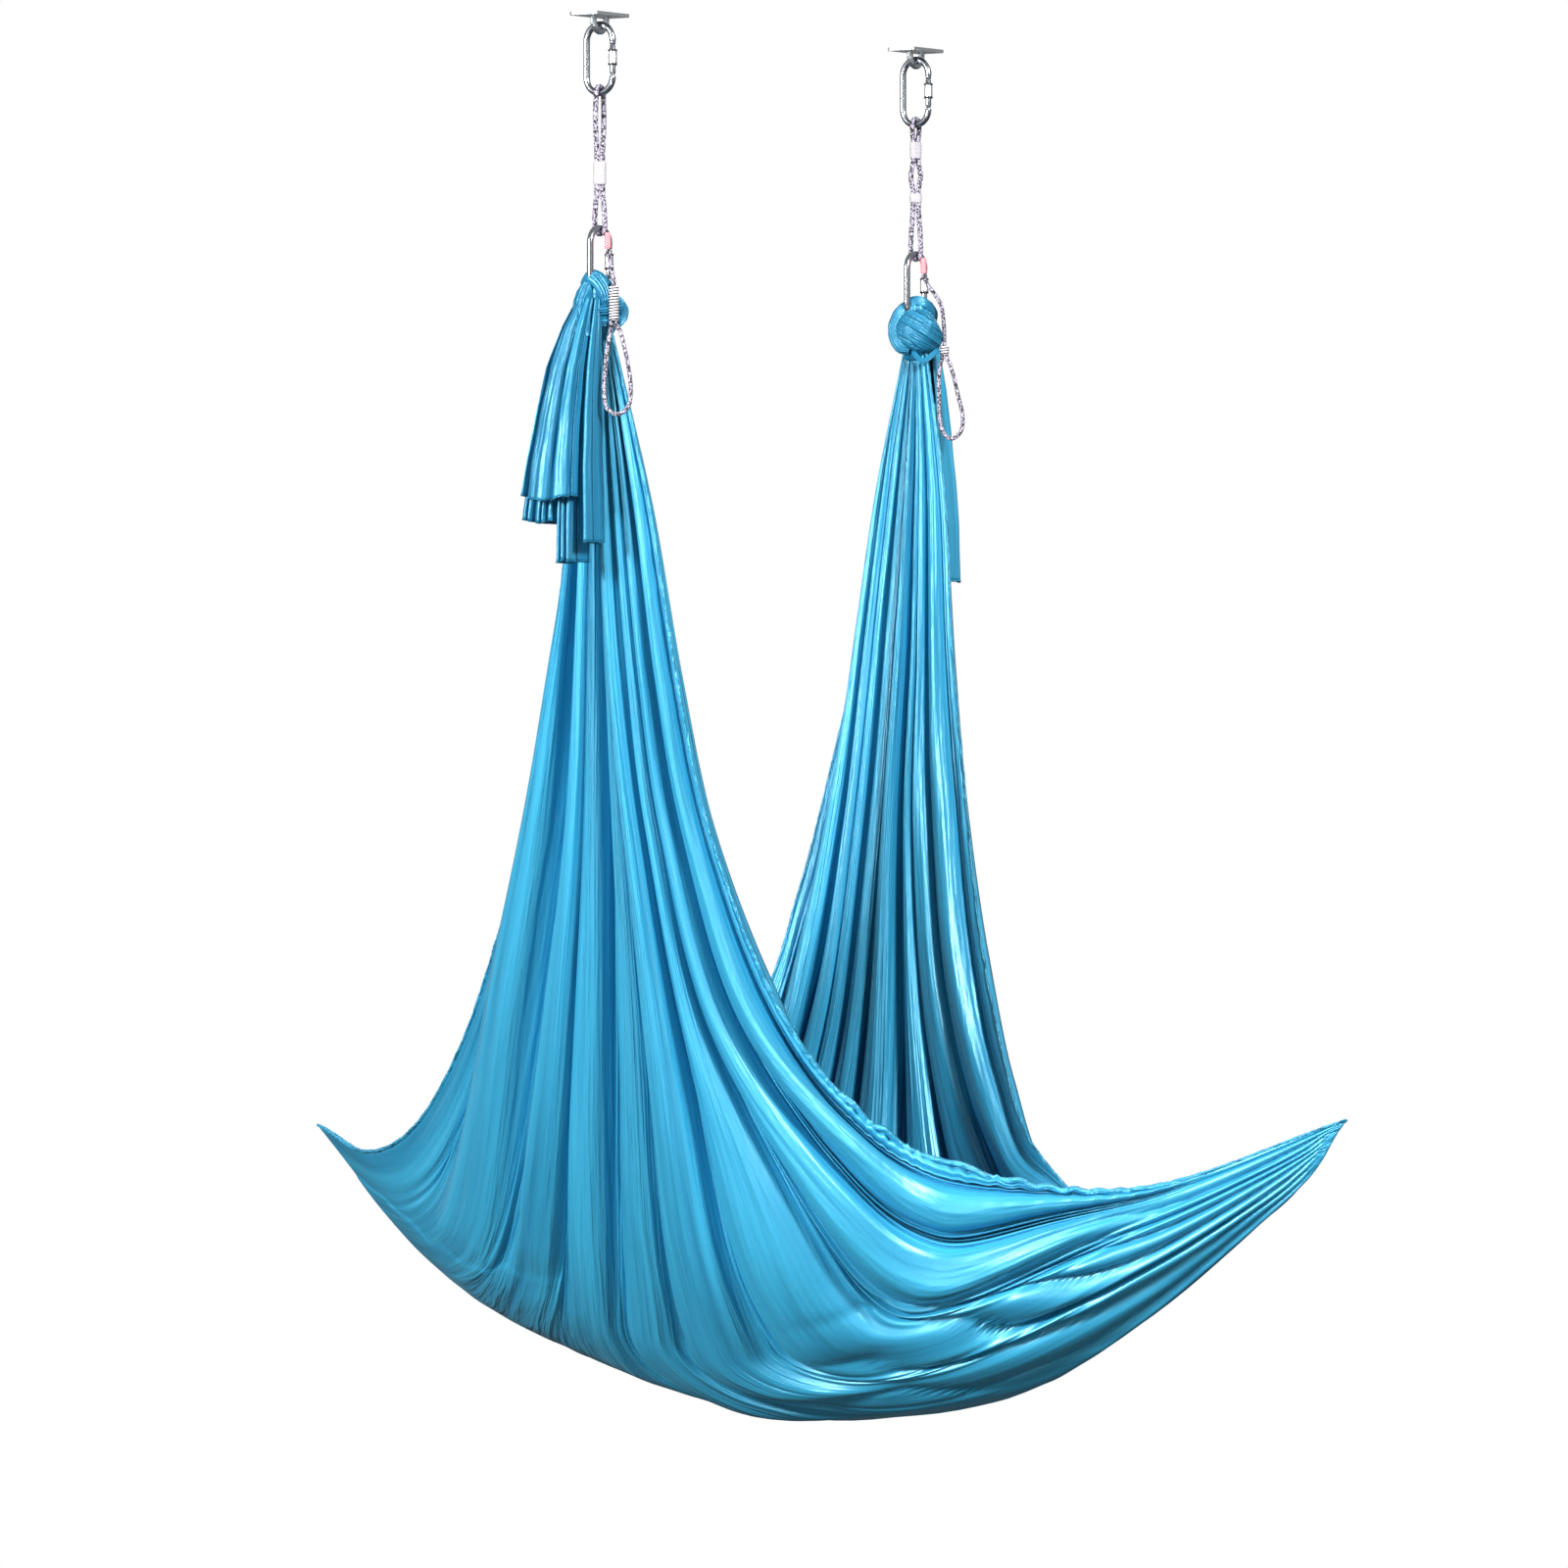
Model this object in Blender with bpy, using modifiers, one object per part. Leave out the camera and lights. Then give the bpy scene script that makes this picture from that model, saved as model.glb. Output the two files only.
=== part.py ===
"""Aerial hammock: one cloth tied to two carabiners, hung on rope chains from two ceiling plates.

Metres, +Z up. The origin is the middle of ceiling plate A's top face. Side A is at y = 0,
side B one eye spacing further along +Y, and the cloth's right-hand point is at +X.
"""

import math

import bmesh
import bpy
from mathutils import Matrix, Vector

# Places that set the whole object
EYE_SPACING = 0.84
SMALL_GAP = 0.0003
CUT_OVERRUN = 0.004
ROPE_PIVOT_DEPTH = 0.330

# Ceiling plate with its round-bar eye
PLATE_LENGTH = 0.090
PLATE_WIDTH = 0.050
PLATE_THICKNESS = 0.005
PLATE_CORNER = 0.006
SCREW_HOLE_RADIUS = 0.00425
SCREW_HOLE_SPACING = 0.066
EYE_BAR_RADIUS = 0.005
EYE_HALF_WIDTH = 0.016
EYE_DROP = 0.0225

# Screw-gate carabiner
CARABINER_HEIGHT = 0.112
CARABINER_WIDTH = 0.058
STOCK_RADIUS = 0.005
GATE_RADIUS = 0.0045
GATE_TOP_GAP = 0.0006
HINGE_CLEARANCE = 0.0007
SHOULDER_RISE = 0.0005
NOSE_LENGTH = 0.007
TONGUE_THICKNESS = 0.0036
TONGUE_RADIUS = 0.0038
TONGUE_ROOT = 0.004
SLOT_WIDTH = 0.0042
SLOT_HEIGHT = 0.0046
PIN_RADIUS = 0.0014
PIN_LENGTH = 0.0088
SLEEVE_RADIUS = 0.007
SLEEVE_LENGTH = 0.024
SLEEVE_RISE = 0.0105
SLEEVE_CLEARANCE = 0.0004
SLEEVE_CHAMFER = 0.0012
SPRING_BORE_RADIUS = 0.0023
SPRING_BORE_LENGTH = 0.017
SPRING_RADIUS = 0.0016
SPRING_WIRE_RADIUS = 0.00025
SPRING_PITCH = 0.0018
SPRING_TURNS = 6

# Rope chain
ROPE_RADIUS = 0.004
STRAND_GAP = 0.0005
BINDING_WALL = 0.0012
BULGE_HALF_SPACING = 0.0075
JOINT_RADIUS = 0.0048
JOINT_LENGTH = 0.024
JOINT_OUTSET = 0.0148
JOINT_DROP = 0.0079
LINK_RADIUS = 0.0032
WHIP_RADIUS = 0.0075
WHIP_ROUND = 0.0020
WHIP_LENGTH_A = 0.052
WHIP_LENGTH_B = 0.014
CORD_LEAD = 0.006

# Knot, and the tails that hang from it
KNOT_HALF_X = 0.030
KNOT_HALF_Y = 0.034
KNOT_HALF_Z = 0.037
KNOT_SAG = 0.0133
KNOT_FOOT = 0.028
KNOT_GROOVE = 0.0028
KNOT_CLEARANCE = 0.0005
CLOTH_THICKNESS = 0.0015
TAIL_RISE = 0.008
TAIL_ROOT = 0.0364
TAIL_SPREAD = 0.056
TAIL_FOLD_DEPTH = 0.016
TAIL_HEM_STEP = 0.012
TAIL_LENGTH_A = 0.372
TAIL_HALF_WIDTH_A = 0.060
TAIL_SHIFT_A = 0.043
TAIL_LENGTH_B = 0.412
TAIL_HALF_WIDTH_B = 0.046
TAIL_SHIFT_B = 0.012

# Cloth sling
CLOTH_HALF_WIDTH = 0.968
CRADLE_DROP = 2.127
CRADLE_OFFSET = 0.100
TIP_OFFSET = 0.138
FOLD_COUNT = 6
FOLD_COLUMNS = 24
PANEL_ROWS = 11
FOLD_DEPTH = 0.030

WELD_DISTANCE = 0.000001
EYE_DEPTH = PLATE_THICKNESS + EYE_DROP
RUN = CARABINER_HEIGHT - STOCK_RADIUS * 2
BOW_RADIUS = CARABINER_WIDTH / 2 - STOCK_RADIUS
STRAIGHT = RUN - BOW_RADIUS * 2
UPPER_TOP = EYE_DEPTH - EYE_BAR_RADIUS - STOCK_RADIUS - SMALL_GAP
UPPER_CENTRE = UPPER_TOP + RUN / 2
WRAP_RADIUS = STOCK_RADIUS + ROPE_RADIUS + SMALL_GAP
LOWER_TOP = ROPE_PIVOT_DEPTH - WRAP_RADIUS
LOWER_CENTRE = LOWER_TOP + RUN / 2
BOUND_SPACING = ROPE_RADIUS + STRAND_GAP / 2
KNOT_DROP = LOWER_TOP + RUN + KNOT_SAG
KNOT_FOOT_DROP = KNOT_DROP + KNOT_FOOT
BUNDLE_START = KNOT_FOOT_DROP + SMALL_GAP + CLOTH_THICKNESS / 2
DROP = CRADLE_DROP - BUNDLE_START
HANG_OFFSET = EYE_SPACING / 2
VIEW_TURN = math.radians(35)
QUARTER = math.pi / 2

for item in list(bpy.data.objects):
    bpy.data.objects.remove(item, do_unlink=True)
PARTS = bpy.data.collections.new("aerial_hammock")
CUTTERS = bpy.data.collections.new("cutters")
bpy.context.scene.collection.children.link(PARTS)
bpy.context.scene.collection.children.link(CUTTERS)


def material(name, colour, roughness, metallic=0.0):
    made = bpy.data.materials.new(name)
    made.use_nodes = True
    shader = made.node_tree.nodes["Principled BSDF"]
    shader.inputs["Base Color"].default_value = (*colour, 1.0)
    shader.inputs["Roughness"].default_value = roughness
    shader.inputs["Metallic"].default_value = metallic
    return made


CLOTH = material("satin_nylon_tricot", (0.060, 0.400, 0.700), 0.42)
ROPE = material("flecked_nylon_cord", (0.620, 0.600, 0.600), 0.80)
WHIPPING = material("waxed_whipping_twine", (0.450, 0.430, 0.430), 0.75)
STITCH = material("red_bar_tack", (0.550, 0.050, 0.090), 0.70)
STEEL = material("polished_steel", (0.620, 0.620, 0.640), 0.25, 1.0)
SLEEVE_METAL = material("satin_aluminium", (0.700, 0.700, 0.720), 0.35, 1.0)
SPRING_STEEL = material("spring_steel", (0.450, 0.450, 0.460), 0.35, 1.0)
PLATE_STEEL = material("zinc_plated_steel", (0.560, 0.570, 0.590), 0.40, 1.0)


def place(item, finish=None, parent=None, at=(0, 0, 0), turn=0.0, cutter=False):
    """Puts an object in its collection, under its parent, at a place and turn about Z."""
    for home in list(item.users_collection):
        home.objects.unlink(item)
    (CUTTERS if cutter else PARTS).objects.link(item)
    item.parent = parent
    item.location = at
    item.rotation_euler = (0, 0, turn)
    if cutter:
        item.hide_render = True
        item.display_type = "WIRE"
    elif finish:
        item.data.materials.clear()
        item.data.materials.append(finish)
    return item


def from_bmesh(name, shape):
    mesh = bpy.data.meshes.new(name)
    bmesh.ops.recalc_face_normals(shape, faces=shape.faces)
    shape.to_mesh(mesh)
    shape.free()
    return bpy.data.objects.new(name, mesh)


def box(name, low, high):
    shape = bmesh.new()
    bmesh.ops.create_cube(shape, size=1)
    size = Vector(high) - Vector(low)
    middle = (Vector(high) + Vector(low)) / 2
    bmesh.ops.transform(shape, matrix=Matrix.Translation(middle) @ Matrix.Diagonal((*size, 1)),
                        verts=shape.verts)
    return from_bmesh(name, shape)


def rod(name, radius, length, axis="Z", sides=16, centre=(0, 0, 0)):
    """A closed cylinder about an axis, centred on a point."""
    shape = bmesh.new()
    bmesh.ops.create_cone(shape, cap_ends=True, segments=sides, radius1=radius, radius2=radius,
                          depth=length)
    turns = {"X": Matrix.Rotation(math.pi / 2, 4, "Y"), "Z": Matrix.Identity(4),
             "Y": Matrix.Rotation(math.pi / 2, 4, "X")}
    bmesh.ops.transform(shape, matrix=Matrix.Translation(centre) @ turns[axis], verts=shape.verts)
    return from_bmesh(name, shape)


def prism(name, outline, thickness, axis="Z"):
    """A flat outline, drawn in two coordinates, made this thick and centred on its plane."""
    shape = bmesh.new()
    turn = {"Z": Matrix.Identity(4), "Y": Matrix.Rotation(math.pi / 2, 4, "X")}[axis]
    lower = [shape.verts.new(turn @ Vector((a, b, -thickness / 2))) for a, b in outline]
    face = shape.faces.new(lower)
    upper = bmesh.ops.extrude_face_region(shape, geom=[face])["geom"]
    lift = turn @ Vector((0, 0, thickness))
    bmesh.ops.translate(shape, vec=lift, verts=[v for v in upper if isinstance(v, bmesh.types.BMVert)])
    return from_bmesh(name, shape)


def turned(name, profile, steps=20, closed=False):
    """A turned solid: a profile in the XZ plane, swept about Z with a Screw modifier."""
    mesh = bpy.data.meshes.new(name)
    edges = [(i, i + 1) for i in range(len(profile) - 1)]
    if closed:
        edges.append((len(profile) - 1, 0))
    mesh.from_pydata([(r, 0, z) for r, z in profile], edges, [])
    item = bpy.data.objects.new(name, mesh)
    sweep = item.modifiers.new("turn", "SCREW")
    sweep.steps = sweep.render_steps = steps
    sweep.use_merge_vertices = True
    sweep.merge_threshold = WELD_DISTANCE
    return item


def tube(name, points, radius, detail=2, cyclic=False):
    """A round tube along points, as a curve."""
    data = bpy.data.curves.new(name, "CURVE")
    data.dimensions = "3D"
    line = data.splines.new("POLY")
    line.points.add(len(points) - 1)
    for node, point in zip(line.points, points):
        node.co = (*point, 1)
    line.use_cyclic_u = cyclic
    data.bevel_depth = radius
    data.bevel_resolution = detail
    data.use_fill_caps = not cyclic
    return bpy.data.objects.new(name, data)


def to_mesh(item):
    """Makes a curve a mesh with its caps welded, so that it can be cut or joined."""
    bpy.context.scene.collection.objects.link(item)
    bpy.context.view_layer.update()
    evaluated = item.evaluated_get(bpy.context.evaluated_depsgraph_get())
    mesh = bpy.data.meshes.new_from_object(evaluated)
    shape = bmesh.new()
    shape.from_mesh(mesh)
    bmesh.ops.remove_doubles(shape, verts=shape.verts, dist=WELD_DISTANCE)
    bmesh.ops.recalc_face_normals(shape, faces=shape.faces)
    shape.to_mesh(mesh)
    shape.free()
    name = item.name
    item.name = name + "_curve"
    made = bpy.data.objects.new(name, mesh)
    made.matrix_world = item.matrix_world
    bpy.data.objects.remove(item)
    return made


def combine(target, tool, operation):
    """Joins or cuts with a tool kept in the cutters' collection, at the target's own place."""
    place(tool, parent=target, cutter=True)
    step = target.modifiers.new(operation.lower(), "BOOLEAN")
    step.operation = operation
    step.object = tool
    step.solver = "EXACT"


def empty(name, at, parent=None):
    item = bpy.data.objects.new(name, None)
    PARTS.objects.link(item)
    item.parent = parent
    item.location = at
    return item


def smooth(item, angle=0.6):
    if item.type == "MESH" and item.data.polygons:
        item.data.shade_smooth()
        item.data.set_sharp_from_angle(angle=angle)
    return item


def arc(centre, radius, start, end, count):
    """Points of an arc in a plane, from one angle to another."""
    return [(centre[0] + radius * math.cos(start + (end - start) * i / count),
             centre[1] + radius * math.sin(start + (end - start) * i / count))
            for i in range(count + 1)]


def curve_through(values, at):
    """Value at a place on a smooth curve through evenly spaced values."""
    last = len(values) - 1
    i = min(int(at * last), last - 1)
    t = at * last - i
    before = values[i - 1] if i > 0 else 2 * values[0] - values[1]
    after = values[i + 2] if i + 2 <= last else 2 * values[last] - values[last - 1]
    a, b = values[i], values[i + 1]
    return 0.5 * (2 * a + (b - before) * t + (2 * before - 5 * a + 4 * b - after) * t * t
                  + (3 * a - before - 3 * b + after) * t * t * t)


def dense(points, count):
    """A smooth curve through a route's own points, as this many points."""
    axes = [[point[k] for point in points] for k in range(3)]
    return [tuple(curve_through(axis, i / (count - 1)) for axis in axes) for i in range(count)]


def make_plate(side, anchor):
    """Ceiling plate with two screw holes and a welded U of round bar."""
    half_x = PLATE_WIDTH / 2 - PLATE_CORNER
    half_y = PLATE_LENGTH / 2 - PLATE_CORNER
    outline = []
    for sx, sy, start in ((1, 1, 0), (-1, 1, 1), (-1, -1, 2), (1, -1, 3)):
        outline += arc((sx * half_x, sy * half_y), PLATE_CORNER, start * math.pi / 2,
                       (start + 1) * math.pi / 2, 4)
    plate = prism(f"ceiling_plate_{side}", outline, PLATE_THICKNESS)
    rise = -PLATE_THICKNESS / 2
    place(plate, PLATE_STEEL, anchor, (0, 0, rise))
    bow = arc((0, -EYE_DEPTH + EYE_HALF_WIDTH), EYE_HALF_WIDTH, 0, -math.pi, 12)
    weld = -PLATE_THICKNESS / 2
    path = [(EYE_HALF_WIDTH, weld)] + bow + [(-EYE_HALF_WIDTH, weld)]
    eye = to_mesh(tube(f"eye_bar_{side}", [(0, y, z - rise) for y, z in path], EYE_BAR_RADIUS, 3))
    combine(plate, eye, "UNION")
    for end in (-1, 1):
        hole = rod(f"screw_hole_{side}_{end}", SCREW_HOLE_RADIUS, PLATE_THICKNESS + CUT_OVERRUN,
                   centre=(0, end * SCREW_HOLE_SPACING / 2, 0))
        combine(plate, hole, "DIFFERENCE")


def make_carabiner(name, holder, centre, turn, finish):
    """An oval screw-gate carabiner: body, gate, pin, spring and sleeve, lateral axis along X."""
    shoulder = -STRAIGHT / 2 + SHOULDER_RISE
    hinge = shoulder + GATE_RADIUS + HINGE_CLEARANCE
    nose = STRAIGHT / 2 - NOSE_LENGTH
    gate_top = nose - GATE_TOP_GAP
    lower = arc((0, -STRAIGHT / 2), BOW_RADIUS, 0, -math.pi, 12)
    upper = arc((0, STRAIGHT / 2), BOW_RADIUS, math.pi, 0, 12)
    path = [(BOW_RADIUS, shoulder)] + lower + upper
    body = to_mesh(tube(f"{name}_body", [(x, 0, z) for x, z in path], STOCK_RADIUS, 2))
    place(body, finish, holder, centre, turn)
    top = arc((BOW_RADIUS, hinge), TONGUE_RADIUS, 0, math.pi, 8)
    foot = shoulder - TONGUE_ROOT
    outline = top + [(BOW_RADIUS - TONGUE_RADIUS, foot), (BOW_RADIUS + TONGUE_RADIUS, foot)]
    combine(body, prism(f"{name}_tongue", outline, TONGUE_THICKNESS, "Y"), "UNION")
    stub = rod(f"{name}_nose", GATE_RADIUS, NOSE_LENGTH + CUT_OVERRUN,
               centre=(BOW_RADIUS, 0, nose + (NOSE_LENGTH + CUT_OVERRUN) / 2))
    combine(body, stub, "UNION")
    bore = PIN_RADIUS + SMALL_GAP
    hole = rod(f"{name}_hinge_hole", bore, STOCK_RADIUS * 2, "Y", 12, (BOW_RADIUS, 0, hinge))
    combine(body, hole, "DIFFERENCE")

    axis = empty(f"{name}_gate_axis", (0, 0, 0), holder)
    axis.location = Vector(centre) + Matrix.Rotation(turn, 3, "Z") @ Vector((BOW_RADIUS, 0, hinge))
    axis.rotation_euler = (0, 0, turn)
    length = gate_top - hinge
    foot_arc = arc((0, 0), GATE_RADIUS, 0, -math.pi / 2, 6)
    profile = [(0, length), (GATE_RADIUS, length)] + foot_arc[:-1] + [(0, -GATE_RADIUS)]
    gate = place(turned(f"{name}_gate", profile, 16), finish, axis)
    slot_low = (-STOCK_RADIUS, -SLOT_WIDTH / 2, -STOCK_RADIUS - CUT_OVERRUN)
    slot_high = (STOCK_RADIUS, SLOT_WIDTH / 2, SLOT_HEIGHT)
    combine(gate, box(f"{name}_gate_slot", slot_low, slot_high), "DIFFERENCE")
    combine(gate, rod(f"{name}_gate_hole", bore, STOCK_RADIUS * 2, "Y", 12), "DIFFERENCE")
    bore_top = SLOT_HEIGHT + SPRING_BORE_LENGTH
    spring_bore = rod(f"{name}_spring_bore", SPRING_BORE_RADIUS, bore_top, sides=12,
                      centre=(0, 0, bore_top / 2))
    combine(gate, spring_bore, "DIFFERENCE")
    place(rod(f"{name}_gate_pin", PIN_RADIUS, PIN_LENGTH, "Y", 12), STEEL, axis)

    start = TONGUE_RADIUS + SPRING_WIRE_RADIUS + SMALL_GAP
    per_turn = 8
    coil = []
    for i in range(SPRING_TURNS * per_turn + 1):
        angle = math.tau * i / per_turn
        coil.append((SPRING_RADIUS * math.cos(angle), SPRING_RADIUS * math.sin(angle),
                     start + SPRING_PITCH * i / per_turn))
    place(tube(f"{name}_gate_spring", coil, SPRING_WIRE_RADIUS, 0), SPRING_STEEL, axis)
    print(name, "spring least gap mm", round((SPRING_PITCH - SPRING_WIRE_RADIUS * 2) * 1000, 2))

    inner = GATE_RADIUS + SLEEVE_CLEARANCE
    rim = SLEEVE_RADIUS - SLEEVE_CHAMFER
    ring = [(rim, SLEEVE_LENGTH), (SLEEVE_RADIUS, SLEEVE_LENGTH - SLEEVE_CHAMFER),
            (SLEEVE_RADIUS, SLEEVE_CHAMFER), (rim, 0), (inner, 0), (inner, SLEEVE_LENGTH)]
    place(turned(f"{name}_sleeve", ring, 16, True), SLEEVE_METAL, axis, (0, 0, SLEEVE_RISE))


def strand_place(share, shares, spacings, turns):
    """Half spacing and turn of the two strands at a share of the rope's run, eased."""
    i = 0
    while i < len(shares) - 2 and share > shares[i + 1]:
        i += 1
    t = (share - shares[i]) / (shares[i + 1] - shares[i])
    t = t * t * (3 - 2 * t)
    return (spacings[i] + (spacings[i + 1] - spacings[i]) * t,
            turns[i] + (turns[i + 1] - turns[i]) * t)


def make_rope(side, anchor, stations, binding_shares):
    """The doubled strands between the two carabiners, as one closed loop, and their bindings."""
    top = UPPER_TOP + RUN
    run = LOWER_TOP - top
    runs = 17
    points = []
    for sign in (1, -1):
        order = range(runs + 1) if sign == 1 else range(runs, -1, -1)
        for i in order:
            spacing, angle = strand_place(i / runs, *stations)
            points.append((sign * spacing * math.cos(angle), sign * spacing * math.sin(angle),
                           -run * i / runs))
        bend = [math.pi * k / 6 for k in range(1, 6)]
        if sign == 1:
            points += [(WRAP_RADIUS * math.cos(b), 0, -run - WRAP_RADIUS * math.sin(b))
                       for b in bend]
        else:
            points += [(0, -WRAP_RADIUS * math.cos(b), WRAP_RADIUS * math.sin(b)) for b in bend]
    holder = empty(f"rope_axis_{side}", (0, 0, -top), anchor)
    place(tube(f"rope_chain_{side}", points, ROPE_RADIUS, 2, True), ROPE, holder)
    least = min((Vector(a) - Vector(b)).length for i, a in enumerate(points)
                for j, b in enumerate(points) if 6 < (i - j) % len(points) < len(points) - 6)
    print("rope chain", side, "least gap mm", round((least - ROPE_RADIUS * 2) * 1000, 2))
    for number, (start, end) in enumerate(binding_shares):
        spacing, angle = strand_place((start + end) / 2, *stations)
        inner = ROPE_RADIUS + SMALL_GAP
        length = (end - start) * run
        rings = []
        for label, radius, tall in (("", inner + BINDING_WALL, length),
                                    ("_bore", inner, length + CUT_OVERRUN)):
            outline = arc((spacing, 0), radius, -QUARTER, QUARTER, 8)
            outline += arc((-spacing, 0), radius, QUARTER, QUARTER * 3, 8)
            rings.append(prism(f"rope_binding_{side}_{number + 1}{label}", outline, tall))
        place(rings[0], WHIPPING, holder, (0, 0, -run * (start + end) / 2), angle)
        combine(rings[0], rings[1], "DIFFERENCE")


def capsule(radius, half, round_radius):
    """Profile of a turned pill with rounded rims, from its top to its foot."""
    rim = radius - round_radius
    upper = arc((rim, half - round_radius), round_radius, math.pi / 2, 0, 3)
    lower = arc((rim, -half + round_radius), round_radius, 0, -math.pi / 2, 3)
    return [(0, half)] + upper + lower + [(0, -half)]


def lead(end, way):
    """The first points of a cord, straight up or down from its end."""
    return [(end[0], end[1], end[2] + way * CORD_LEAD * step / 2) for step in range(3)]


def make_rope_end(side, anchor, route, whip_length, loop):
    """Stitched joint, link cord, whipped section and free end loop of one chain."""
    holder = empty(f"rope_end_axis_{side}", (0, 0, -LOWER_TOP), anchor)
    pill = turned(f"stitched_joint_{side}", capsule(JOINT_RADIUS, JOINT_LENGTH / 2, WHIP_ROUND), 12)
    place(pill, STITCH, holder, (JOINT_OUTSET, 0, -JOINT_DROP - JOINT_LENGTH / 2))
    start = (JOINT_OUTSET, 0, -JOINT_DROP - JOINT_LENGTH - SMALL_GAP)
    whip_top = route[-1]
    finish = (whip_top[0], whip_top[1], whip_top[2] + SMALL_GAP)
    cord = dense(lead(start, -1) + route[:-1] + lead(finish, 1)[::-1], 24)
    place(tube(f"link_cord_{side}", cord, LINK_RADIUS, 2), ROPE, holder)
    whip = turned(f"whipped_section_{side}", capsule(WHIP_RADIUS, whip_length / 2, WHIP_ROUND), 12)
    foot = whip_top[2] - whip_length
    place(whip, WHIPPING, holder, (whip_top[0], whip_top[1], (whip_top[2] + foot) / 2))
    under = foot - SMALL_GAP
    spread = LINK_RADIUS + STRAND_GAP
    right = Vector((math.cos(VIEW_TURN), math.sin(VIEW_TURN), 0))
    ends = [Vector((whip_top[0], whip_top[1], under)) + right * spread * s for s in (-1, 1)]
    line = dense(lead(ends[0], -1) + loop + lead(ends[1], -1)[::-1], 40)
    place(tube(f"end_loop_{side}", line, LINK_RADIUS, 2), ROPE, holder)
    for label, path in (("link cord", cord), ("end loop", line)):
        length = sum((Vector(a) - Vector(b)).length for a, b in zip(path, path[1:]))
        print(label, side, "length m", round(length, 4))


def make_knot(side, anchor, ear_turn):
    """The cloth tied round the carabiner's foot: slanted wraps, an ear and a groove for the bar."""
    shape = bmesh.new()
    bmesh.ops.create_uvsphere(shape, u_segments=24, v_segments=16, radius=1)
    for vert in shape.verts:
        across = math.atan2(vert.co.y, vert.co.x) - ear_turn
        wraps = math.cos(KNOT_WRAP_SHARE * math.tau * vert.co.z + KNOT_SLANT * math.cos(across))
        flat = math.sqrt(max(0.0, 1 - vert.co.z * vert.co.z))
        swell = 1 + KNOT_GROOVE / KNOT_HALF_X * wraps * flat
        ear = math.exp(-(1 - math.cos(across)) / EAR_TURN_SHARE - (vert.co.z / EAR_RISE_SHARE) ** 2)
        swell += EAR_SHARE * ear
        vert.co = (vert.co.x * KNOT_HALF_X * swell, vert.co.y * KNOT_HALF_Y * swell,
                   vert.co.z * KNOT_HALF_Z)
    knot = from_bmesh(f"knot_{side}", shape)
    place(knot, CLOTH, anchor, (0, 0, -KNOT_DROP))
    path = arc((0, KNOT_SAG + BOW_RADIUS), BOW_RADIUS, GROOVE_RUN_ON, -math.pi - GROOVE_RUN_ON, 14)
    groove = to_mesh(tube(f"knot_groove_{side}", [(0, y, z) for y, z in path],
                          STOCK_RADIUS + KNOT_CLEARANCE, 2))
    combine(knot, groove, "DIFFERENCE")
    reach = KNOT_HALF_Y * 2
    below = box(f"knot_foot_{side}", (-reach, -reach, -KNOT_FOOT - reach), (reach, reach, -KNOT_FOOT))
    combine(knot, below, "DIFFERENCE")


def cloth_solid(name, rows, sling):
    """A closed solid from rows of points: an open sheet with Solidify."""
    mesh = bpy.data.meshes.new(name)
    wide = len(rows[0])
    faces = [(i * wide + j, i * wide + j + 1, (i + 1) * wide + j + 1, (i + 1) * wide + j)
             for i in range(len(rows) - 1) for j in range(wide - 1)]
    mesh.from_pydata([point for row in rows for point in row], [], faces)
    item = bpy.data.objects.new(name, mesh)
    thick = item.modifiers.new("cloth", "SOLIDIFY")
    thick.thickness = CLOTH_THICKNESS
    thick.offset = 0
    thick.use_rim = True
    return place(smooth(item, 1.2), CLOTH, sling)


def make_tail(side, anchor, way, length, half_width, shift):
    """A gathered cloth end: rows of points from the knot down to its hem."""
    columns = TAIL_FOLDS * 4
    rows = []
    for i, down in enumerate(TAIL_DEPTH_SHARES):
        half = half_width * TAIL_WIDTH_SHARES[i]
        outset = TAIL_ROOT + TAIL_SPREAD * TAIL_SPREAD_SHARES[i]
        row = []
        for j in range(columns + 1):
            share = j / columns
            across = (share * 2 - 1) * half - shift * TAIL_SHIFT_SHARES[i]
            wave = TAIL_FOLD_DEPTH * TAIL_FOLD_SHARES[i] * math.cos(math.tau * TAIL_FOLDS * share)
            hem = TAIL_HEM_STEP * math.sin(QUARTER * 3 * share) if down == 1 else 0
            row.append((across, way * outset + wave, TAIL_RISE - length * down + hem))
        rows.append(row)
    holder = empty(f"tail_axis_{side}", (0, 0, -KNOT_DROP), anchor)
    cloth_solid(f"tail_{side}", rows, holder)


# Shares of the knot's wraps and of its ear, which stands out to one side
KNOT_WRAP_SHARE = 1.7
KNOT_SLANT = 1.3
EAR_SHARE = 0.22
EAR_TURN_SHARE = 0.125
EAR_RISE_SHARE = 0.333
GROOVE_RUN_ON = math.radians(6)

# Shape of a tail from the knot to its hem, as shares of its own sizes
TAIL_FOLDS = 3
TAIL_DEPTH_SHARES = (0.0, 0.11, 0.26, 0.44, 0.62, 0.80, 1.0)
TAIL_WIDTH_SHARES = (0.20, 0.37, 0.53, 0.68, 0.83, 0.96, 1.0)
TAIL_SPREAD_SHARES = (0.0, 0.25, 0.50, 0.70, 0.85, 0.95, 1.0)
TAIL_SHIFT_SHARES = (0.1, 0.3, 0.5, 0.7, 0.85, 0.95, 1.0)
TAIL_FOLD_SHARES = (0.06, 0.32, 0.56, 0.77, 0.9, 1.0, 1.0)

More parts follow.
